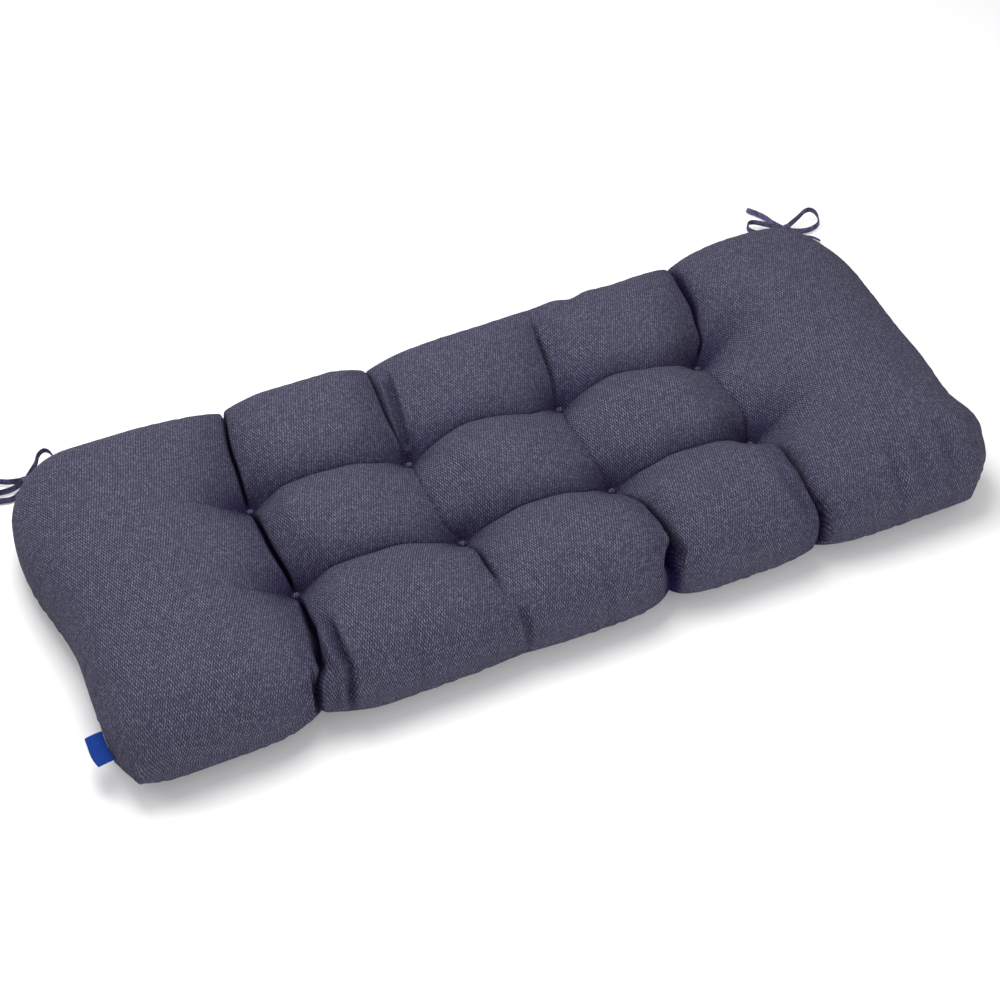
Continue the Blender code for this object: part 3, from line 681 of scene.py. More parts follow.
def join_panels(border):
    """Faces of two panels that share their border, and the point numbers of each panel."""
    top_index = np.arange(border.size).reshape(border.shape)
    bottom_index = top_index.copy()
    bottom_index[~border] = border.size + np.arange((~border).sum())
    faces = []
    for index, way in ((top_index, 1), (bottom_index, -1)):
        quads = np.stack([index[:-1, :-1], index[:-1, 1:], index[1:, 1:], index[1:, :-1]],
                         axis=-1).reshape(-1, 4)
        faces += quads[:, ::way].tolist()
    return faces, top_index, bottom_index


# %% Lay the cloth's pattern along the surface
CLOTH_SPREAD = 0.140
NEAR_FOLD, NEAR_SEAM = 0.024, 0.050
FULL_SLIT = 0.008


def running_sum(steps):
    return np.concatenate([np.zeros((1, steps.shape[1])), np.cumsum(steps, axis=0)])


def between(lines):
    return (lines[1:] + lines[:-1]) / 2.0


def steep_places(axis):
    """1 where the slope along this axis is steep, so that the pattern follows it closely."""
    lines, edge = ((LINES_Y, HALF_DEPTH), (LINES_X, HALF_LENGTH))[axis]
    middles = between(lines)[:, None]
    steep = np.exp(-((edge - np.abs(middles)) / NEAR_SEAM) ** 2)
    if axis == 0:
        return steep
    for crease in CREASES:
        slit = np.minimum(table_value(crease.slit, LINES_Y) / FULL_SLIT, 1.0)
        steep = np.maximum(steep, slit * np.exp(-((middles - crease.x) / NEAR_FOLD) ** 2))
    return steep


def pattern_shift(extra, steep, lines, breaks, other_lines):
    """How far the cloth's pattern is carried by the extra length that its slopes take."""
    spread = np.exp(-(np.subtract.outer(other_lines, other_lines) / CLOTH_SPREAD) ** 2)
    spread /= spread.sum(axis=1, keepdims=True)
    gentle = running_sum(extra * (1.0 - steep) @ spread.T)
    close = running_sum(extra * steep)
    shift, bays = np.zeros_like(close), np.zeros((len(lines), 1))
    marks = [0, *np.searchsorted(lines, breaks), len(lines) - 1]
    for start, end in zip(marks, marks[1:]):
        shift[start:end + 1] += close[start:end + 1] - close[(start + end) // 2]
        bays[start:end + 1] += 1.0
    return gentle - gentle[len(lines) // 2] + shift / bays


def cloth_places(panel):
    """Where the cloth's pattern lies: the plan, plus the extra length that the slopes take."""
    places = panel[..., :2].copy()
    for axis, lines, breaks, other_lines in ((1, LINES_X, COLUMN_X, LINES_Y),
                                             (0, LINES_Y, (), LINES_X)):
        step = np.diff(panel, axis=axis)
        extra = np.linalg.norm(step, axis=2) - np.linalg.norm(step[..., :2], axis=2)
        shift = pattern_shift(np.moveaxis(extra, axis, 0), steep_places(axis), lines, breaks,
                              other_lines)
        places[..., 1 - axis] += np.moveaxis(shift, 0, axis)
    return places


def sew(name, top, bottom):
    piece = new_piece(name, of_both(top, bottom, BORDER), join_panels(BORDER)[0])
    set_uv(piece, of_both(cloth_places(top), cloth_places(bottom), BORDER))
    return piece


print("the seam joins", int(BORDER.sum()), "points")


# %% [markdown]
# ## Filling the cushion
# Real cloth round a filling pulls itself smooth between its tacks and puckers at them. That
# could be drawn by hand, but Blender's cloth simulation does it as the real cloth does. A copy
# of the sewn panels takes every second row and every fourth column, the tacks and the seam are
# held, and air pressure inside stands for the filling. How far each point moved is then carried
# over to the fine panels, with a cap so that the cushion keeps its size.

# %% Where the cloth is held
EDGE_HOLD, EDGE_HOLD_REACH = 0.85, 0.060
TACK_HOLD_REACH, ON_SEAM, LEAST_HOLD = 0.006, 0.0005, 0.01


def held_weights(x, y):
    """1 on the tacks and the seam, where the cloth can't move, and less beside the seam."""
    tack = 1.0 - ease((nearest_tack(x, y) - FLOOR_OF_DIMPLE) / TACK_HOLD_REACH)
    inward = np.minimum(HALF_LENGTH - np.abs(x), HALF_DEPTH - np.abs(y))
    edge = EDGE_HOLD * (1.0 - ease(inward / EDGE_HOLD_REACH))
    return np.maximum(tack, np.where(inward < ON_SEAM, 1.0, edge))


# %% Fill it
FILL_FRAMES = 20
MOVE_CAP = 0.014
EVERY_ROW, EVERY_COLUMN = 2, 4
FILLING = {"quality": 5, "mass": 0.15, "tension_stiffness": 15.0, "compression_stiffness": 15.0,
           "shear_stiffness": 5.0, "bending_stiffness": 2.0, "use_pressure": True,
           "uniform_pressure_force": 4.0, "vertex_group_mass": "held"}


def fill_panels(top, bottom):
    """How far each point of both panels moves under the pressure, on a coarse copy."""
    coarse = (slice(None, None, EVERY_ROW), slice(None, None, EVERY_COLUMN))
    border = BORDER[coarse]
    points = of_both(top[coarse], bottom[coarse], border)
    faces, top_index, bottom_index = join_panels(border)
    blank = new_piece("filling_trial", points, faces)
    weights = held_weights(PATTERN_X[coarse], PATTERN_Y[coarse])
    weights = of_both(weights, weights, border)
    held = blank.vertex_groups.new(name="held")
    for index in np.nonzero(weights > LEAST_HOLD)[0]:
        held.add([int(index)], float(weights[index]), "REPLACE")
    cloth = blank.modifiers.new("filling", "CLOTH")
    for setting, value in FILLING.items():
        setattr(cloth.settings, setting, value)
    cloth.settings.effector_weights.gravity = 0.0
    cloth.collision_settings.use_self_collision = False
    cloth.point_cache.frame_end = FILL_FRAMES
    for number in range(1, FILL_FRAMES + 1):
        bpy.context.scene.frame_set(number)
    settled = blank.evaluated_get(bpy.context.evaluated_depsgraph_get())
    places = np.empty(len(points) * 3)
    settled.data.vertices.foreach_get("co", places)
    moved = places.reshape(-1, 3) - points
    bpy.context.scene.frame_set(1)
    bpy.data.objects.remove(blank, do_unlink=True)
    length = np.linalg.norm(moved, axis=1)[:, None]
    print("cloth moved", round(float(length.mean()), 4), "m, at most",
          round(float(length.max()), 4), "m")
    moved *= np.minimum(1.0, MOVE_CAP * np.tanh(length / MOVE_CAP) / np.maximum(length, 1e-9))
    return moved[top_index], moved[bottom_index]


# %% Carry the movement over to the fine panels
def twice_as_dense(moved, axis):
    """The movement at twice as many places along one axis of the panel."""
    moved = np.moveaxis(moved, axis, 0)
    padded = np.concatenate([2.0 * moved[:1] - moved[1:2], moved, 2.0 * moved[-1:] - moved[-2:-1]])
    dense = np.empty((2 * len(moved) - 1, *moved.shape[1:]))
    dense[::2] = moved
    dense[1::2] = (-padded[:-3] + 9.0 * padded[1:-2] + 9.0 * padded[2:-1] - padded[3:]) / 16.0
    return np.moveaxis(dense, 0, axis)


def on_fine_panel(moved):
    for axis in (0, 1, 1):
        moved = twice_as_dense(moved, axis)
    return moved


top_move, bottom_move = fill_panels(top_panel, bottom_panel)
top_panel = top_panel + on_fine_panel(top_move)
bottom_panel = bottom_panel + on_fine_panel(bottom_move)
for panel in (top_panel, bottom_panel):
    panel[..., 2] = np.maximum(panel[..., 2], 0.0)
print("filled crown", round(float(top_panel[..., 2].max()), 4), "m")

# %% [markdown]
# ## Slits, pleats and the seam
# A filling pushes the puffs together until a crease is a closed slit, open at most at its mouth
# on the front edge, and the cloth that is left over folds into small pleats. A finer simulation
# could fold them but would take long and fall anew each time. So they are drawn into the filled
# panels: slits along the creases, pleats along short lines of their own, and a narrow tuck with
# puckers along the seam. The bottom panel follows the seam where a slit draws it in.

# %% Slits
Fold = namedtuple("Fold", "half lip_reach lip_pull")
COLUMN_SLIT = Fold(0.0032, 0.0085, 0.0064)
ROW_SLIT = Fold(0.0022, 0.0065, 0.0050)
FULL_LIP = 0.010
ROW_SLIT_DEPTH, ROW_SLIT_FADE = 0.0006, 0.020
LEVELLING = 0.016
TACK_CLEARANCE, TACK_FADE = 0.007, 0.012


def outward_ways(panel):
    """The direction that points straight out of the cloth, levelled over the small folds."""
    spread_x = np.exp(-(np.subtract.outer(LINES_X, LINES_X) / LEVELLING) ** 2)
    spread_y = np.exp(-(np.subtract.outer(LINES_Y, LINES_Y) / LEVELLING) ** 2)
    ways = np.cross(np.gradient(panel, axis=1), np.gradient(panel, axis=0))
    ways = np.einsum("ij,jkc->ikc", spread_y, ways)
    ways = np.einsum("ij,kjc->kic", spread_x, ways)
    return ways / np.linalg.norm(ways, axis=-1, keepdims=True)


def slit_move(offset, depth, fold, mouth=0.0):
    """Sideways and inward movement of the cloth at this offset from a slit."""
    lip = offset / fold.lip_reach
    share = np.minimum(depth / FULL_LIP, 1.0) * fold.half / (fold.half + 2.0 * mouth)
    return (-share * fold.lip_pull * lip * np.exp(-lip ** 2),
            depth * np.exp(-(offset / (fold.half + mouth)) ** 2))


def draw_slits(panel, ways):
    clear = ease((nearest_tack(PATTERN_X, PATTERN_Y) - TACK_CLEARANCE) / TACK_FADE)
    for crease in CREASES:
        depth = table_value(crease.slit, PATTERN_Y) * clear
        mouth = table_value(crease.mouth, PATTERN_Y)
        aside, inward = slit_move(PATTERN_X - crease.x, depth, COLUMN_SLIT, mouth)
        panel[..., 0] += aside
        panel -= inward[..., None] * ways
    fading = 1.0 - ease((np.abs(PATTERN_X) - COLUMN_X[-1]) / ROW_SLIT_FADE)
    for row in ROW_Y:
        aside, inward = slit_move(PATTERN_Y - row, ROW_SLIT_DEPTH * fading * clear, ROW_SLIT)
        panel[..., 1] += aside
        panel -= inward[..., None] * ways


# %% Pleats
# Each pleat has a depth, half a width, and a line on the panel seen from above. It fades in
# from the line's first point and keeps its full depth to the last.
Pleat = namedtuple("Pleat", "depth half points")
PLEATS = (
    Pleat(0.0110, 0.0042, ((-0.303, -0.146), (-0.297, -0.172), (-0.297, -0.203),
                           (-0.293, -0.224), (-0.299, -0.238))),
    Pleat(0.0090, 0.0032, ((-0.328, -0.206), (-0.334, -0.223), (-0.334, -0.240))),
    Pleat(0.0085, 0.0042, ((-0.082, 0.200), (-0.088, 0.165), (-0.094, 0.124), (-0.099, 0.090))),
    Pleat(0.0045, 0.0038, ((-0.092, -0.222), (-0.084, -0.244))),
    Pleat(0.0075, 0.0034, ((0.106, -0.188), (0.112, -0.207), (0.115, -0.222))),
    Pleat(0.0045, 0.0036, ((0.288, -0.206), (0.297, -0.224), (0.303, -0.242))),
    Pleat(0.0035, 0.0060, ((0.262, -0.170), (0.266, -0.200), (0.276, -0.226))),
    Pleat(0.0034, 0.0080, ((0.402, -0.190), (0.398, -0.215), (0.400, -0.240))),
    Pleat(0.0024, 0.0065, ((0.436, -0.195), (0.432, -0.218), (0.436, -0.240))),
    Pleat(0.0032, 0.0080, ((0.474, -0.185), (0.470, -0.212), (0.474, -0.238))),
    Pleat(0.0018, 0.0070, ((0.020, -0.205), (0.014, -0.240))),
    Pleat(0.0018, 0.0070, ((-0.210, -0.200), (-0.214, -0.240))),
    Pleat(0.0030, 0.0120, ((0.176, 0.180), (0.184, 0.212), (0.188, 0.240))),
)
PLEAT_START, RIDGE_PLACE, RIDGE_SHARE = 0.4, 2.2, 0.40
# Painted shade: a pleat this deep or deeper gets the full shade in its groove.
PLEAT_FULL_SHADE = 0.012


def draw_pleat(panel, ways, pleat):
    """A groove with a low ridge on each side, along a line on the panel seen from above.
    Gives back how deep in the pleat each point lies, as the strength of the painted shade in its
    groove."""
    route = np.array(pleat.points)
    lengths = np.concatenate(([0.0], np.cumsum(np.linalg.norm(np.diff(route, axis=0), axis=1))))
    nearest = np.full(PATTERN_X.shape, np.inf)
    along = np.zeros_like(nearest)
    for start, end, before in zip(route, route[1:], lengths):
        way = end - start
        share = np.clip(((panel[..., :2] - start) @ way) / (way @ way), 0.0, 1.0)
        away = np.linalg.norm(panel[..., :2] - start - share[..., None] * way, axis=-1)
        along = np.where(away < nearest, before + share * np.linalg.norm(way), along)
        nearest = np.minimum(away, nearest)
    taper = ease(np.minimum(along / (PLEAT_START * lengths[-1]), 1.0))
    groove = taper * np.exp(-(nearest / pleat.half) ** 2)
    ridge = taper * np.exp(-((nearest - RIDGE_PLACE * pleat.half) / pleat.half) ** 2)
    panel -= (pleat.depth * (groove - RIDGE_SHARE * ridge))[..., None] * ways
    return groove * np.minimum(pleat.depth / PLEAT_FULL_SHADE, 1.0)


# %% Draw the slits and pleats
UNDER_REACH = 0.018

outward = outward_ways(top_panel)
seam_before = top_panel[[0, -1]].copy()
draw_slits(top_panel, outward)
for line, before, edge in zip((0, -1), seam_before, (-HALF_DEPTH, HALF_DEPTH)):
    fade = np.exp(-(np.abs(PATTERN_Y - edge) / UNDER_REACH) ** 2)
    bottom_panel += fade[..., None] * (top_panel[line] - before)
bottom_panel[..., 2] = np.maximum(bottom_panel[..., 2], 0.0)
# Painted shade: the pleats' grooves are also darkened in the cover's colour.
pleat_shade_mask = np.max([draw_pleat(top_panel, outward, pleat) for pleat in PLEATS], axis=0)
top_panel[..., 2] = np.maximum(top_panel[..., 2], bottom_panel[..., 2])
print(len(PLEATS), "pleats")

# %% Tuck the seam in
SEAM_TUCK, SEAM_REACH = 0.0022, 0.0030
PUCKER, PUCKER_REACH, PUCKER_PITCH = 0.0011, 0.016, 0.021
PUCKER_WAVES = ((1.0, 1.0, 0.0), (0.7, 0.62, 1.3), (0.5, 1.7, 0.4))   # share, pitch, start
UNEVEN_MEAN, UNEVEN_SWING, UNEVEN_PITCH, UNEVEN_START = 0.55, 0.45, 0.19, 0.9
ENDS_START, PUCKER_START, CORNER_BLEND = 3.0, 0.004, 0.03


def tuck_seam(panel):
    """Draws the border in, with small puckers that run a little way up from it."""
    inward_x = HALF_LENGTH - np.abs(PATTERN_X)
    inward_y = HALF_DEPTH - np.abs(PATTERN_Y)
    inward = np.minimum(inward_x, inward_y)
    tuck = SEAM_TUCK * np.exp(-(inward / SEAM_REACH) ** 2)
    along = 2.0 * math.pi * np.where(inward_y < inward_x, PATTERN_X, PATTERN_Y + ENDS_START)
    waves = sum(share * np.sin(along / (pitch * PUCKER_PITCH) + start)
                for share, pitch, start in PUCKER_WAVES)
    uneven = UNEVEN_MEAN + UNEVEN_SWING * np.sin(along / UNEVEN_PITCH + UNEVEN_START)
    near = np.exp(-inward / PUCKER_REACH) * ease(inward / PUCKER_START)
    tuck = tuck + PUCKER * waves * uneven * near
    end_on = ease((inward_y - inward_x) / CORNER_BLEND + 0.5)
    panel[..., 0] -= np.sign(PATTERN_X) * tuck * end_on
    panel[..., 1] -= np.sign(PATTERN_Y) * tuck * (1.0 - end_on)


for panel in (top_panel, bottom_panel):
    tuck_seam(panel)
print("puckers every", PUCKER_PITCH, "m")

# %% [markdown]
# ## Painted shade in the folds
# Cloth deep in a fold gets less light, and the light it gets has bounced off other cloth, so it
# looks darker and more violet. The material could find folds by itself with an occlusion node,
# but the export would lose that. So this shade is painted: each point of the cover gets a
# number, from 0 on a crown to 1 in a slit, in an attribute that the material reads to darken
# its colour.

# %% Paint shade into the folds
# Painted shade: how strongly and how far the rows, tacks, crease slopes, pleats and slits darken
# the colour.
ROW_SHADE, TACK_SHADE, SLOPE_SHADE, PLEAT_SHADE = 0.42, 0.50, 0.20, 0.55
TACK_SHADE_REACH, UNDER_SHADE_REACH = 0.031, 0.035
FULL_SHADE_SLIT, MOUTH_AS_SLIT, MOUTH_SHADE_REACH = 0.014, 3.0, 1.25
SLOPE_REACH_LEFT, SLOPE_REACH_RIGHT = 0.030, 0.018
END_ROW_SHADE, END_ROW_START = 0.50, 0.020
BACK_REACH, BACK_SPREAD, FRONT_REACH, FRONT_SPREAD = 0.022, 0.25, 0.006, 0.05


def deep_in_fold():
    """Painted shade for each point of the top panel, from 0 on a crown to 1 in a slit."""
    from_tack = nearest_tack(PATTERN_X, PATTERN_Y)
    open_share = 1.0 - TACK_SHADE * np.exp(-(from_tack / TACK_SHADE_REACH) ** 2)
    open_share *= 1.0 - PLEAT_SHADE * pleat_shade_mask
    for crease in CREASES:
        offset = PATTERN_X - crease.x
        mouth = table_value(crease.mouth, PATTERN_Y)
        slit = np.maximum(table_value(crease.slit, PATTERN_Y), MOUTH_AS_SLIT * mouth)
        slit = np.minimum(slit / FULL_SHADE_SLIT, 1.0)
        reach = COLUMN_SLIT.half + MOUTH_SHADE_REACH * mouth
        open_share *= 1.0 - slit * np.exp(-(offset / reach) ** 4)
        slope = np.where(offset < 0.0, SLOPE_REACH_LEFT, SLOPE_REACH_RIGHT)
        open_share *= 1.0 - SLOPE_SHADE * (0.5 + slit) * np.exp(-(offset / slope) ** 2)
    beyond = np.maximum(np.abs(PATTERN_X) - COLUMN_X[-1], 0.0)
    row_shade = ROW_SHADE + (END_ROW_SHADE - ROW_SHADE) * ease(beyond / END_ROW_START)
    row_shade *= 1.0 - ease(beyond / ROW_FADE)
    for row in ROW_Y:
        offset = PATTERN_Y - row
        reach = np.where(offset > 0.0, BACK_REACH + BACK_SPREAD * beyond,
                         FRONT_REACH + FRONT_SPREAD * beyond)
        open_share *= 1.0 - row_shade * np.exp(-(offset / reach) ** 2)
    return 1.0 - open_share


# %% Make the cover
cushion = sew("cushion_cover", top_panel, bottom_panel)
# Painted shade on the cover: the top panel's fold numbers, and a share of them that fades up the
# bottom panel from the front and back seam.
top_painted_shade = deep_in_fold()
inward = HALF_DEPTH - np.abs(PATTERN_Y)
under_painted_shade = top_painted_shade * np.exp(-(inward / UNDER_SHADE_REACH) ** 2)
painted_shade_layer = cushion.data.attributes.new("deep_in_fold", "FLOAT", "POINT")
painted_shade_layer.data.foreach_set("value", of_both(top_painted_shade, under_painted_shade, BORDER).astype(np.float32))
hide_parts("cushion")
print("cushion", len(cushion.data.polygons), "faces")

# %% [markdown]
# ## The tacks
# Each tack is a small nub of twisted cloth and thread that pulls the top panel down to the
# bottom one. It could be sculpted, but eight alike are wanted, so one is modelled by hand: a
# sphere is pressed low, its underside is cut off, and seven of its meridians are drawn in as
# pleats and rounded by a subdivision. It is then copied to the eight dimples.

# %% Model one tack
TACK_RADIUS, TACK_RISE = 0.0046, 0.0038
TACK_GAP, TACK_UNDERSIDE = 0.0003, -0.0006
TACK_PLEATS, PLEAT_STEPS, TACK_RINGS = 7, 4, 10
PLEAT_SCALE, PLAIN_TOP = 0.84, 0.0012


def select_points(piece, wanted):
    """Selects the points for which wanted(place) holds, and leaves the piece in edit mode."""
    bpy.ops.mesh.select_all(action="DESELECT")
    bpy.ops.object.mode_set(mode="OBJECT")
    piece.data.vertices.foreach_set("select", [wanted(v.co) for v in piece.data.vertices])
    bpy.ops.object.mode_set(mode="EDIT")


def on_a_pleat(place):
    turn = math.atan2(place.y, place.x) / (2.0 * math.pi) * TACK_PLEATS
    return abs(turn - round(turn)) < 0.5 / PLEAT_STEPS and math.hypot(*place.xy) > PLAIN_TOP


def model_tack():
    """One pleated dome at the origin."""
    bpy.ops.object.select_all(action="DESELECT")
    bpy.context.tool_settings.mesh_select_mode = (True, False, False)
    bpy.ops.mesh.primitive_uv_sphere_add(segments=TACK_PLEATS * PLEAT_STEPS,
                                         ring_count=TACK_RINGS, radius=TACK_RADIUS)
    dome = bpy.context.object
    bpy.ops.object.mode_set(mode="EDIT")
    bpy.ops.mesh.select_all(action="SELECT")
    bpy.ops.transform.resize(value=(1.0, 1.0, TACK_RISE / TACK_RADIUS))
    bpy.ops.mesh.bisect(plane_co=(0.0, 0.0, TACK_UNDERSIDE), plane_no=(0.0, 0.0, 1.0),
                        use_fill=True, clear_inner=True)
    select_points(dome, on_a_pleat)
    bpy.ops.transform.resize(value=(PLEAT_SCALE, PLEAT_SCALE, 1.0),
                             center_override=(0.0, 0.0, 0.0))
    bpy.ops.object.mode_set(mode="OBJECT")
    rounding = dome.modifiers.new("rounding", "SUBSURF")
    rounding.levels = rounding.render_levels = 1
    bpy.ops.object.modifier_apply(modifier="rounding")
    dome.data.shade_smooth()
    return dome


first_tack = model_tack()
print("one tack of", len(first_tack.data.polygons), "faces, size",
      [round(v, 4) for v in first_tack.dimensions])

# %% Copy it to the dimples


def place_tack(name, x, y):
    place_x, place_y = plan_place(np.array([[x]]), np.array([[y]]))
    data = first_tack.data.copy()
    data.name = name
    data.transform(Matrix.Translation((place_x.item(), place_y.item(), TACK_HEIGHT + TACK_GAP)))
    tack = bpy.data.objects.new(name, data)
    bpy.context.scene.collection.objects.link(tack)
    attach(tack, "root")
    return tack


tacks = []
for row_name, row in zip(("front", "back"), ROW_Y):
    for number, column in enumerate(COLUMN_X, start=1):
        tack = place_tack(f"nub_{row_name}_{number}", column, row)
        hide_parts(f"tack_{row_name}_{number}")
        tacks.append(tack)
bpy.data.objects.remove(first_tack, do_unlink=True)
print(len(tacks), "tacks")

# %% [markdown]
# ## The blue tab
# A strip of woven ribbon, folded in half and caught in the left seam. A flat card with some
# thickness would look stiff, so the sheet is led out, round its fold and back: two layers
# joined by a round fold at the outer end, with a slight droop and wave.

# %% Fold the tab
TAB_LENGTH, TAB_WIDTH = 0.042, 0.020
TAB_THICKNESS, TAB_DROOP, TAB_BACK_Y = 0.0012, 0.003, -0.160
TAB_ACROSS, TAB_ALONG = 26, 40
TAB_ROOT, TAB_ROUNDNESS = 0.0003, 2.2
TAB_WAVE, TAB_WAVES, TAB_WAVE_START = 0.0006, 5.0, 0.6


def make_tab():
    points, places, faces = [], [], []
    for along in range(TAB_ALONG + 1):
        y = TAB_BACK_Y - TAB_LENGTH * along / TAB_ALONG
        seam_x = np.interp(y, top_panel[:, 0, 1], top_panel[:, 0, 0])
        for across in range(2 * TAB_ACROSS + 1):
            reach = 1.0 - abs(across - TAB_ACROSS) / TAB_ACROSS
            upper = 1.0 if across < TAB_ACROSS else -1.0
            open_up = 0.5 * TAB_THICKNESS * min(1.0, TAB_ROUNDNESS
                                                * math.sqrt(max(1.0 - reach, 0.0)))
            wave = TAB_WAVE * math.sin(along / TAB_ALONG * TAB_WAVES + TAB_WAVE_START) * reach
            points.append((seam_x - TAB_ROOT - TAB_WIDTH * reach, y,
                           SEAM_HEIGHT - TAB_DROOP * reach ** 2 + wave + upper * open_up))
            places.append((across / TAB_ACROSS * TAB_WIDTH, y))
    row = 2 * TAB_ACROSS + 1
    for along in range(TAB_ALONG):
        start = along * row
        faces += [(start + k, start + k + 1, start + row + k + 1, start + row + k)
                  for k in range(row - 1)]
        faces.append((start + row - 1, start, start + row, start + 2 * row - 1))
    faces += [tuple(range(row)), tuple(reversed(range(TAB_ALONG * row, (TAB_ALONG + 1) * row)))]
    tab = new_piece("folded_tab", points, faces)
    set_uv(tab, places)
    face_outward(tab)
    return tab


tab = make_tab()
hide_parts("seam_tab")
print("tab", len(tab.data.polygons), "faces")


# %% [markdown]
# ## Cloth as a shader
# The cloth is woven from mottled yarn: some threads are nearly black, some are pale grey
# lavender. A brick texture comes near, but its mortar can't be round. So a node group makes the
# weave. It cuts the cloth's own coordinates, in metres, into threads, lets every other one pass
# over its neighbours, and gives out a random tone for each thread and a height that is round
# across it and falls off in the gaps.

# %% Node helpers
def maths(tree, operation, first, second=None, third=None):
    node = tree.nodes.new("ShaderNodeMath")
    node.operation = operation
    for socket, value in zip(node.inputs, (first, second, third)):
        if value is None:
            continue
        if isinstance(value, (int, float)):
            socket.default_value = value
        else:
            tree.links.new(value, socket)
    return node.outputs[0]


# %% The weave
THREADS_PER_ROW = 2.0
GAP_ACROSS, GAP_ALONG = 0.2, 0.5           # powers: the smaller, the narrower the gap
UNDER_HEIGHT, UNDER_TONE = 0.55, 0.07
RANDOM_TONE, OVER_TONE = 0.40, 0.46


def make_weave_group():
    group = bpy.data.node_groups.new("mottled_weave", "ShaderNodeTree")
    for name, way, kind in (("Cloth", "INPUT", "Vector"), ("Thread width", "INPUT", "Float"),
                            ("Row height", "INPUT", "Float"), ("Tone", "OUTPUT", "Float"),
                            ("Relief", "OUTPUT", "Float")):
        group.interface.new_socket(name, in_out=way, socket_type=f"NodeSocket{kind}")
    start = group.nodes.new("NodeGroupInput")
    end = group.nodes.new("NodeGroupOutput")
    split = group.nodes.new("ShaderNodeSeparateXYZ")
    group.links.new(start.outputs["Cloth"], split.inputs[0])
    row = maths(group, "DIVIDE", split.outputs["Y"], start.outputs["Row height"])
    column = maths(group, "DIVIDE", split.outputs["X"], start.outputs["Thread width"])
    row_number, column_number = maths(group, "FLOOR", row), maths(group, "FLOOR", column)
    over = maths(group, "FLOORED_MODULO", maths(group, "ADD", row_number, column_number), 2.0)
    pick = maths(group, "FLOOR", maths(group, "MULTIPLY", row, THREADS_PER_ROW))
    cell = group.nodes.new("ShaderNodeCombineXYZ")
    group.links.new(column_number, cell.inputs["X"])
    group.links.new(pick, cell.inputs["Y"])
    random_tone = group.nodes.new("ShaderNodeTexWhiteNoise")
    random_tone.noise_dimensions = "2D"
    group.links.new(cell.outputs[0], random_tone.inputs["Vector"])
    rounds = []
    for place, gap in ((row, GAP_ACROSS), (column, GAP_ALONG)):
        turn = maths(group, "MULTIPLY", maths(group, "FRACT", place), math.pi)
        rounds.append(maths(group, "POWER", maths(group, "SINE", turn), gap))
    relief = maths(group, "MULTIPLY", maths(group, "MULTIPLY", *rounds),
                   maths(group, "MULTIPLY_ADD", over, 1.0 - UNDER_HEIGHT, UNDER_HEIGHT))
    tone = maths(group, "ADD", maths(group, "MULTIPLY_ADD", random_tone.outputs["Value"],
                                     RANDOM_TONE, UNDER_TONE),
                 maths(group, "MULTIPLY", over, OVER_TONE))
    group.links.new(tone, end.inputs["Tone"])
    group.links.new(relief, end.inputs["Relief"])
    return group


weave = make_weave_group()
print("weave of", len(weave.nodes), "nodes")


# %% [markdown]
# ## The three finishes
# The cover and the ties share the weave with their own thread sizes and colours; the tab is a
# finer ribbon. Each material picks its yarn's colour by the thread's tone, shades the gaps
# between threads, paints shade into the folds, and uses the height for bump. A picture of cloth
# would be quicker, but it would repeat, and its threads would have no height.

# %% Yarn colours and painted fold shade
# Painted shade: the violet that the fold numbers multiply into the colour.
FOLD_SHADE_COLOUR = (0.10, 0.05, 0.30)


def ramp_node(tree, stops):
    node = tree.nodes.new("ShaderNodeValToRGB")
    ramp = node.color_ramp
    while len(ramp.elements) < len(stops):
        ramp.elements.new(0.5)
    for element, (place, colour) in zip(ramp.elements, stops):
        element.position = place
        element.color = (*colour, 1.0)
    return node


def multiply_node(tree, colour):
    """A node that multiplies this colour by what is given to its socket 7."""
    mix = tree.nodes.new("ShaderNodeMix")
    mix.data_type = "RGBA"
    mix.blend_type = "MULTIPLY"
    mix.inputs["Factor"].default_value = 1.0
    tree.links.new(colour, mix.inputs[6])
    return mix


def paint_fold_shade(tree, colour):
    """The cloth's colour, with painted shade multiplied in where the folds are."""
    fold = tree.nodes.new("ShaderNodeAttribute")
    fold.attribute_name = "deep_in_fold"
    mix = multiply_node(tree, colour)
    tree.links.new(fold.outputs["Fac"], mix.inputs["Factor"])
    mix.inputs[7].default_value = (*FOLD_SHADE_COLOUR, 1.0)
    return mix.outputs[2]


# %% Cloth materials
MOTTLE_DETAIL, CLOTH_SPECULAR = 3.0, 0.1


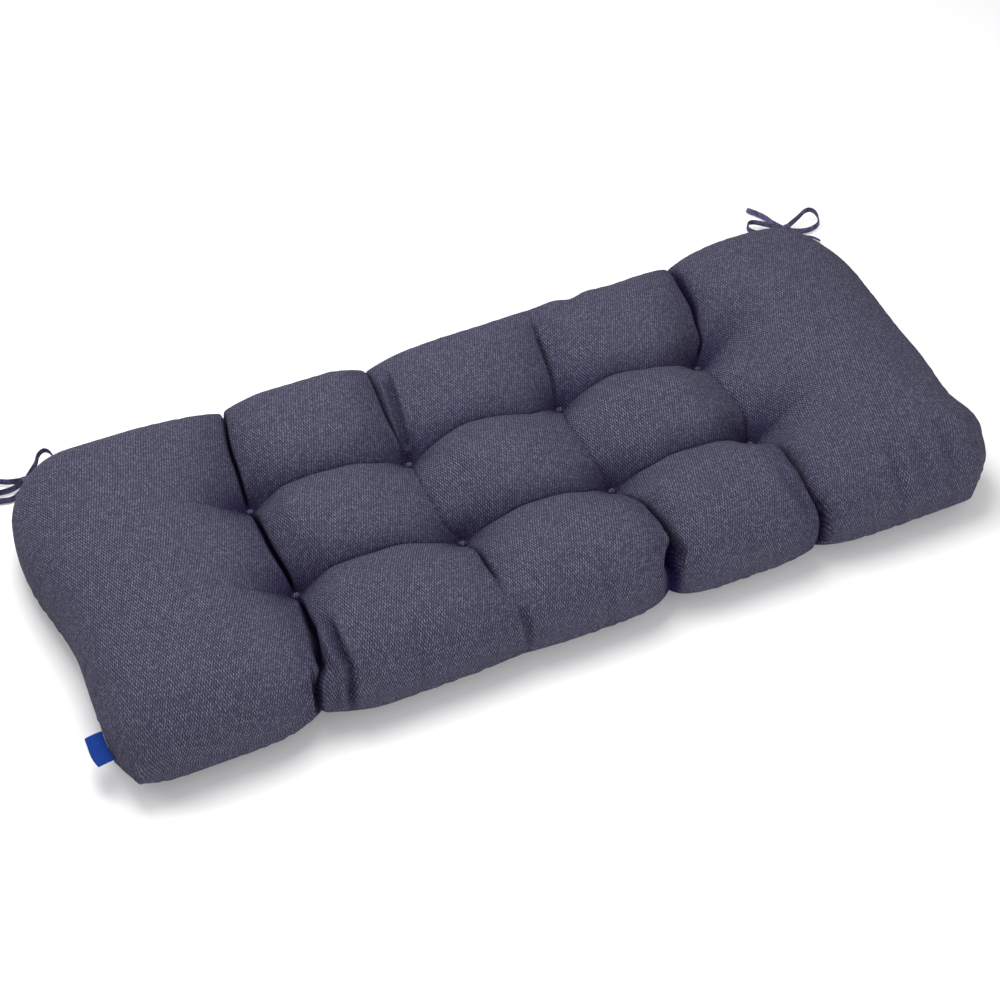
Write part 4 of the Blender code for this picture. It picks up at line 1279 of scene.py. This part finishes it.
def cloth_material(name, stops, thread, row, roughness, relief_depth, gap_shade, mottle_size,
                   mottle):
    material = bpy.data.materials.new(name)
    material.use_nodes = True
    tree = material.node_tree
    shader = tree.nodes["Principled BSDF"]
    shader.inputs["Roughness"].default_value = roughness
    shader.inputs["Specular IOR Level"].default_value = CLOTH_SPECULAR
    places = tree.nodes.new("ShaderNodeUVMap")
    places.uv_map = "cloth"
    threads = tree.nodes.new("ShaderNodeGroup")
    threads.node_tree = weave
    tree.links.new(places.outputs[0], threads.inputs["Cloth"])
    threads.inputs["Thread width"].default_value = thread
    threads.inputs["Row height"].default_value = row
    clouds = tree.nodes.new("ShaderNodeTexNoise")
    clouds.inputs["Scale"].default_value = 1.0 / mottle_size
    clouds.inputs["Detail"].default_value = MOTTLE_DETAIL
    tree.links.new(places.outputs[0], clouds.inputs["Vector"])
    drift = maths(tree, "MULTIPLY", maths(tree, "SUBTRACT", clouds.outputs[0], 0.5), mottle)
    tone = maths(tree, "ADD", threads.outputs["Tone"], drift)
    colours = ramp_node(tree, stops)
    tree.links.new(tone, colours.inputs[0])
    shade = maths(tree, "MULTIPLY_ADD", threads.outputs["Relief"], gap_shade, 1.0 - gap_shade)
    shaded = multiply_node(tree, colours.outputs[0])
    tree.links.new(shade, shaded.inputs[7])
    # Painted shade: the colour is darkened towards violet in the folds.
    tree.links.new(paint_fold_shade(tree, shaded.outputs[2]), shader.inputs["Base Color"])
    bump = tree.nodes.new("ShaderNodeBump")
    bump.inputs["Strength"].default_value = 1.0
    bump.inputs["Distance"].default_value = relief_depth
    tree.links.new(threads.outputs["Relief"], bump.inputs["Height"])
    tree.links.new(bump.outputs[0], shader.inputs["Normal"])
    return material


# %% The three cloths
cover_cloth = cloth_material(
    "mottled_cover_cloth",
    ((0.00, (0.022, 0.021, 0.046)), (0.35, (0.050, 0.049, 0.086)),
     (0.75, (0.097, 0.095, 0.142)), (1.00, (0.192, 0.190, 0.250))),
    thread=0.00152, row=0.00385, roughness=1.0, relief_depth=0.0004,
    gap_shade=0.40, mottle_size=0.0014, mottle=0.20)
strap_cloth = cloth_material(
    "mottled_strap_cloth",
    ((0.00, (0.012, 0.011, 0.038)), (0.50, (0.060, 0.056, 0.128)),
     (1.00, (0.240, 0.230, 0.370))),
    thread=0.0016, row=0.0010, roughness=0.95, relief_depth=0.0003,
    gap_shade=0.4, mottle_size=0.010, mottle=1.1)
tab_ribbon = cloth_material(
    "blue_ribbon",
    ((0.00, (0.004, 0.026, 0.160)), (0.60, (0.007, 0.040, 0.260)),
     (1.00, (0.012, 0.065, 0.340))),
    thread=0.0007, row=0.0005, roughness=0.75, relief_depth=0.0001,
    gap_shade=0.25, mottle_size=0.006, mottle=0.2)

for piece in (cushion, *tacks):
    piece.data.materials.append(cover_cloth)
for piece in (*straps.values(), *knots.values()):
    piece.data.materials.append(strap_cloth)
tab.data.materials.append(tab_ribbon)
for piece in tacks:
    set_uv(piece, [(vertex.co.x, vertex.co.y) for vertex in piece.data.vertices])
print("finishes", [cloth.name for cloth in (cover_cloth, strap_cloth, tab_ribbon)])

# %% [markdown]
# ## Floor and light
# The photograph is a studio picture on white: soft light, brightest from the back left, so the
# slopes that face the viewer are a little darker than those that face away. A bright sky alone
# would be flat. Three large lamps are used: one from the back left, one above the back that
# picks out the crowns, and a weak one from the front that keeps the front wall readable.

# %% Floor
FLOOR_HALF = 6.0
FLOOR_PALE, FLOOR_ROUGHNESS = 0.96, 0.9

floor = new_piece("floor", [(x * FLOOR_HALF, y * FLOOR_HALF, 0.0)
                            for x, y in ((-1, -1), (1, -1), (1, 1), (-1, 1))], [(0, 1, 2, 3)])
pale = bpy.data.materials.new("pale_floor")
pale.use_nodes = True
paint = pale.node_tree.nodes["Principled BSDF"].inputs
paint["Base Color"].default_value = (FLOOR_PALE, FLOOR_PALE, FLOOR_PALE, 1.0)
paint["Roughness"].default_value = FLOOR_ROUGHNESS
floor.data.materials.append(pale)
print("floor of", 2 * FLOOR_HALF, "m")

# %% Lights
SKY_STRENGTH = 0.45
Lamp = namedtuple("Lamp", "name place size watts")
LAMPS = (
    Lamp("key", (-2.6, 1.7, 2.4), 1.6, 34.0),
    Lamp("back_top", (-0.2, 0.5, 1.8), 1.2, 32.0),
    Lamp("front", (0.3, -2.4, 1.2), 1.4, 30.0),
)
for lamp in LAMPS:
    light = bpy.data.lights.new(lamp.name, "AREA")
    light.energy, light.size = lamp.watts, lamp.size
    holder = bpy.data.objects.new(lamp.name, light)
    holder.location = lamp.place
    holder.rotation_euler = Vector(lamp.place).to_track_quat("Z", "Y").to_euler()
    bpy.context.scene.collection.objects.link(holder)
world = bpy.data.worlds.new("studio")
bpy.context.scene.world = world
bpy.context.scene.view_settings.view_transform = "Standard"
world.use_nodes = True
sky = world.node_tree.nodes["Background"].inputs
sky["Color"].default_value = (1.0, 1.0, 1.0, 1.0)
sky["Strength"].default_value = SKY_STRENGTH
print(len(LAMPS), "lamps of", [lamp.watts for lamp in LAMPS], "W")
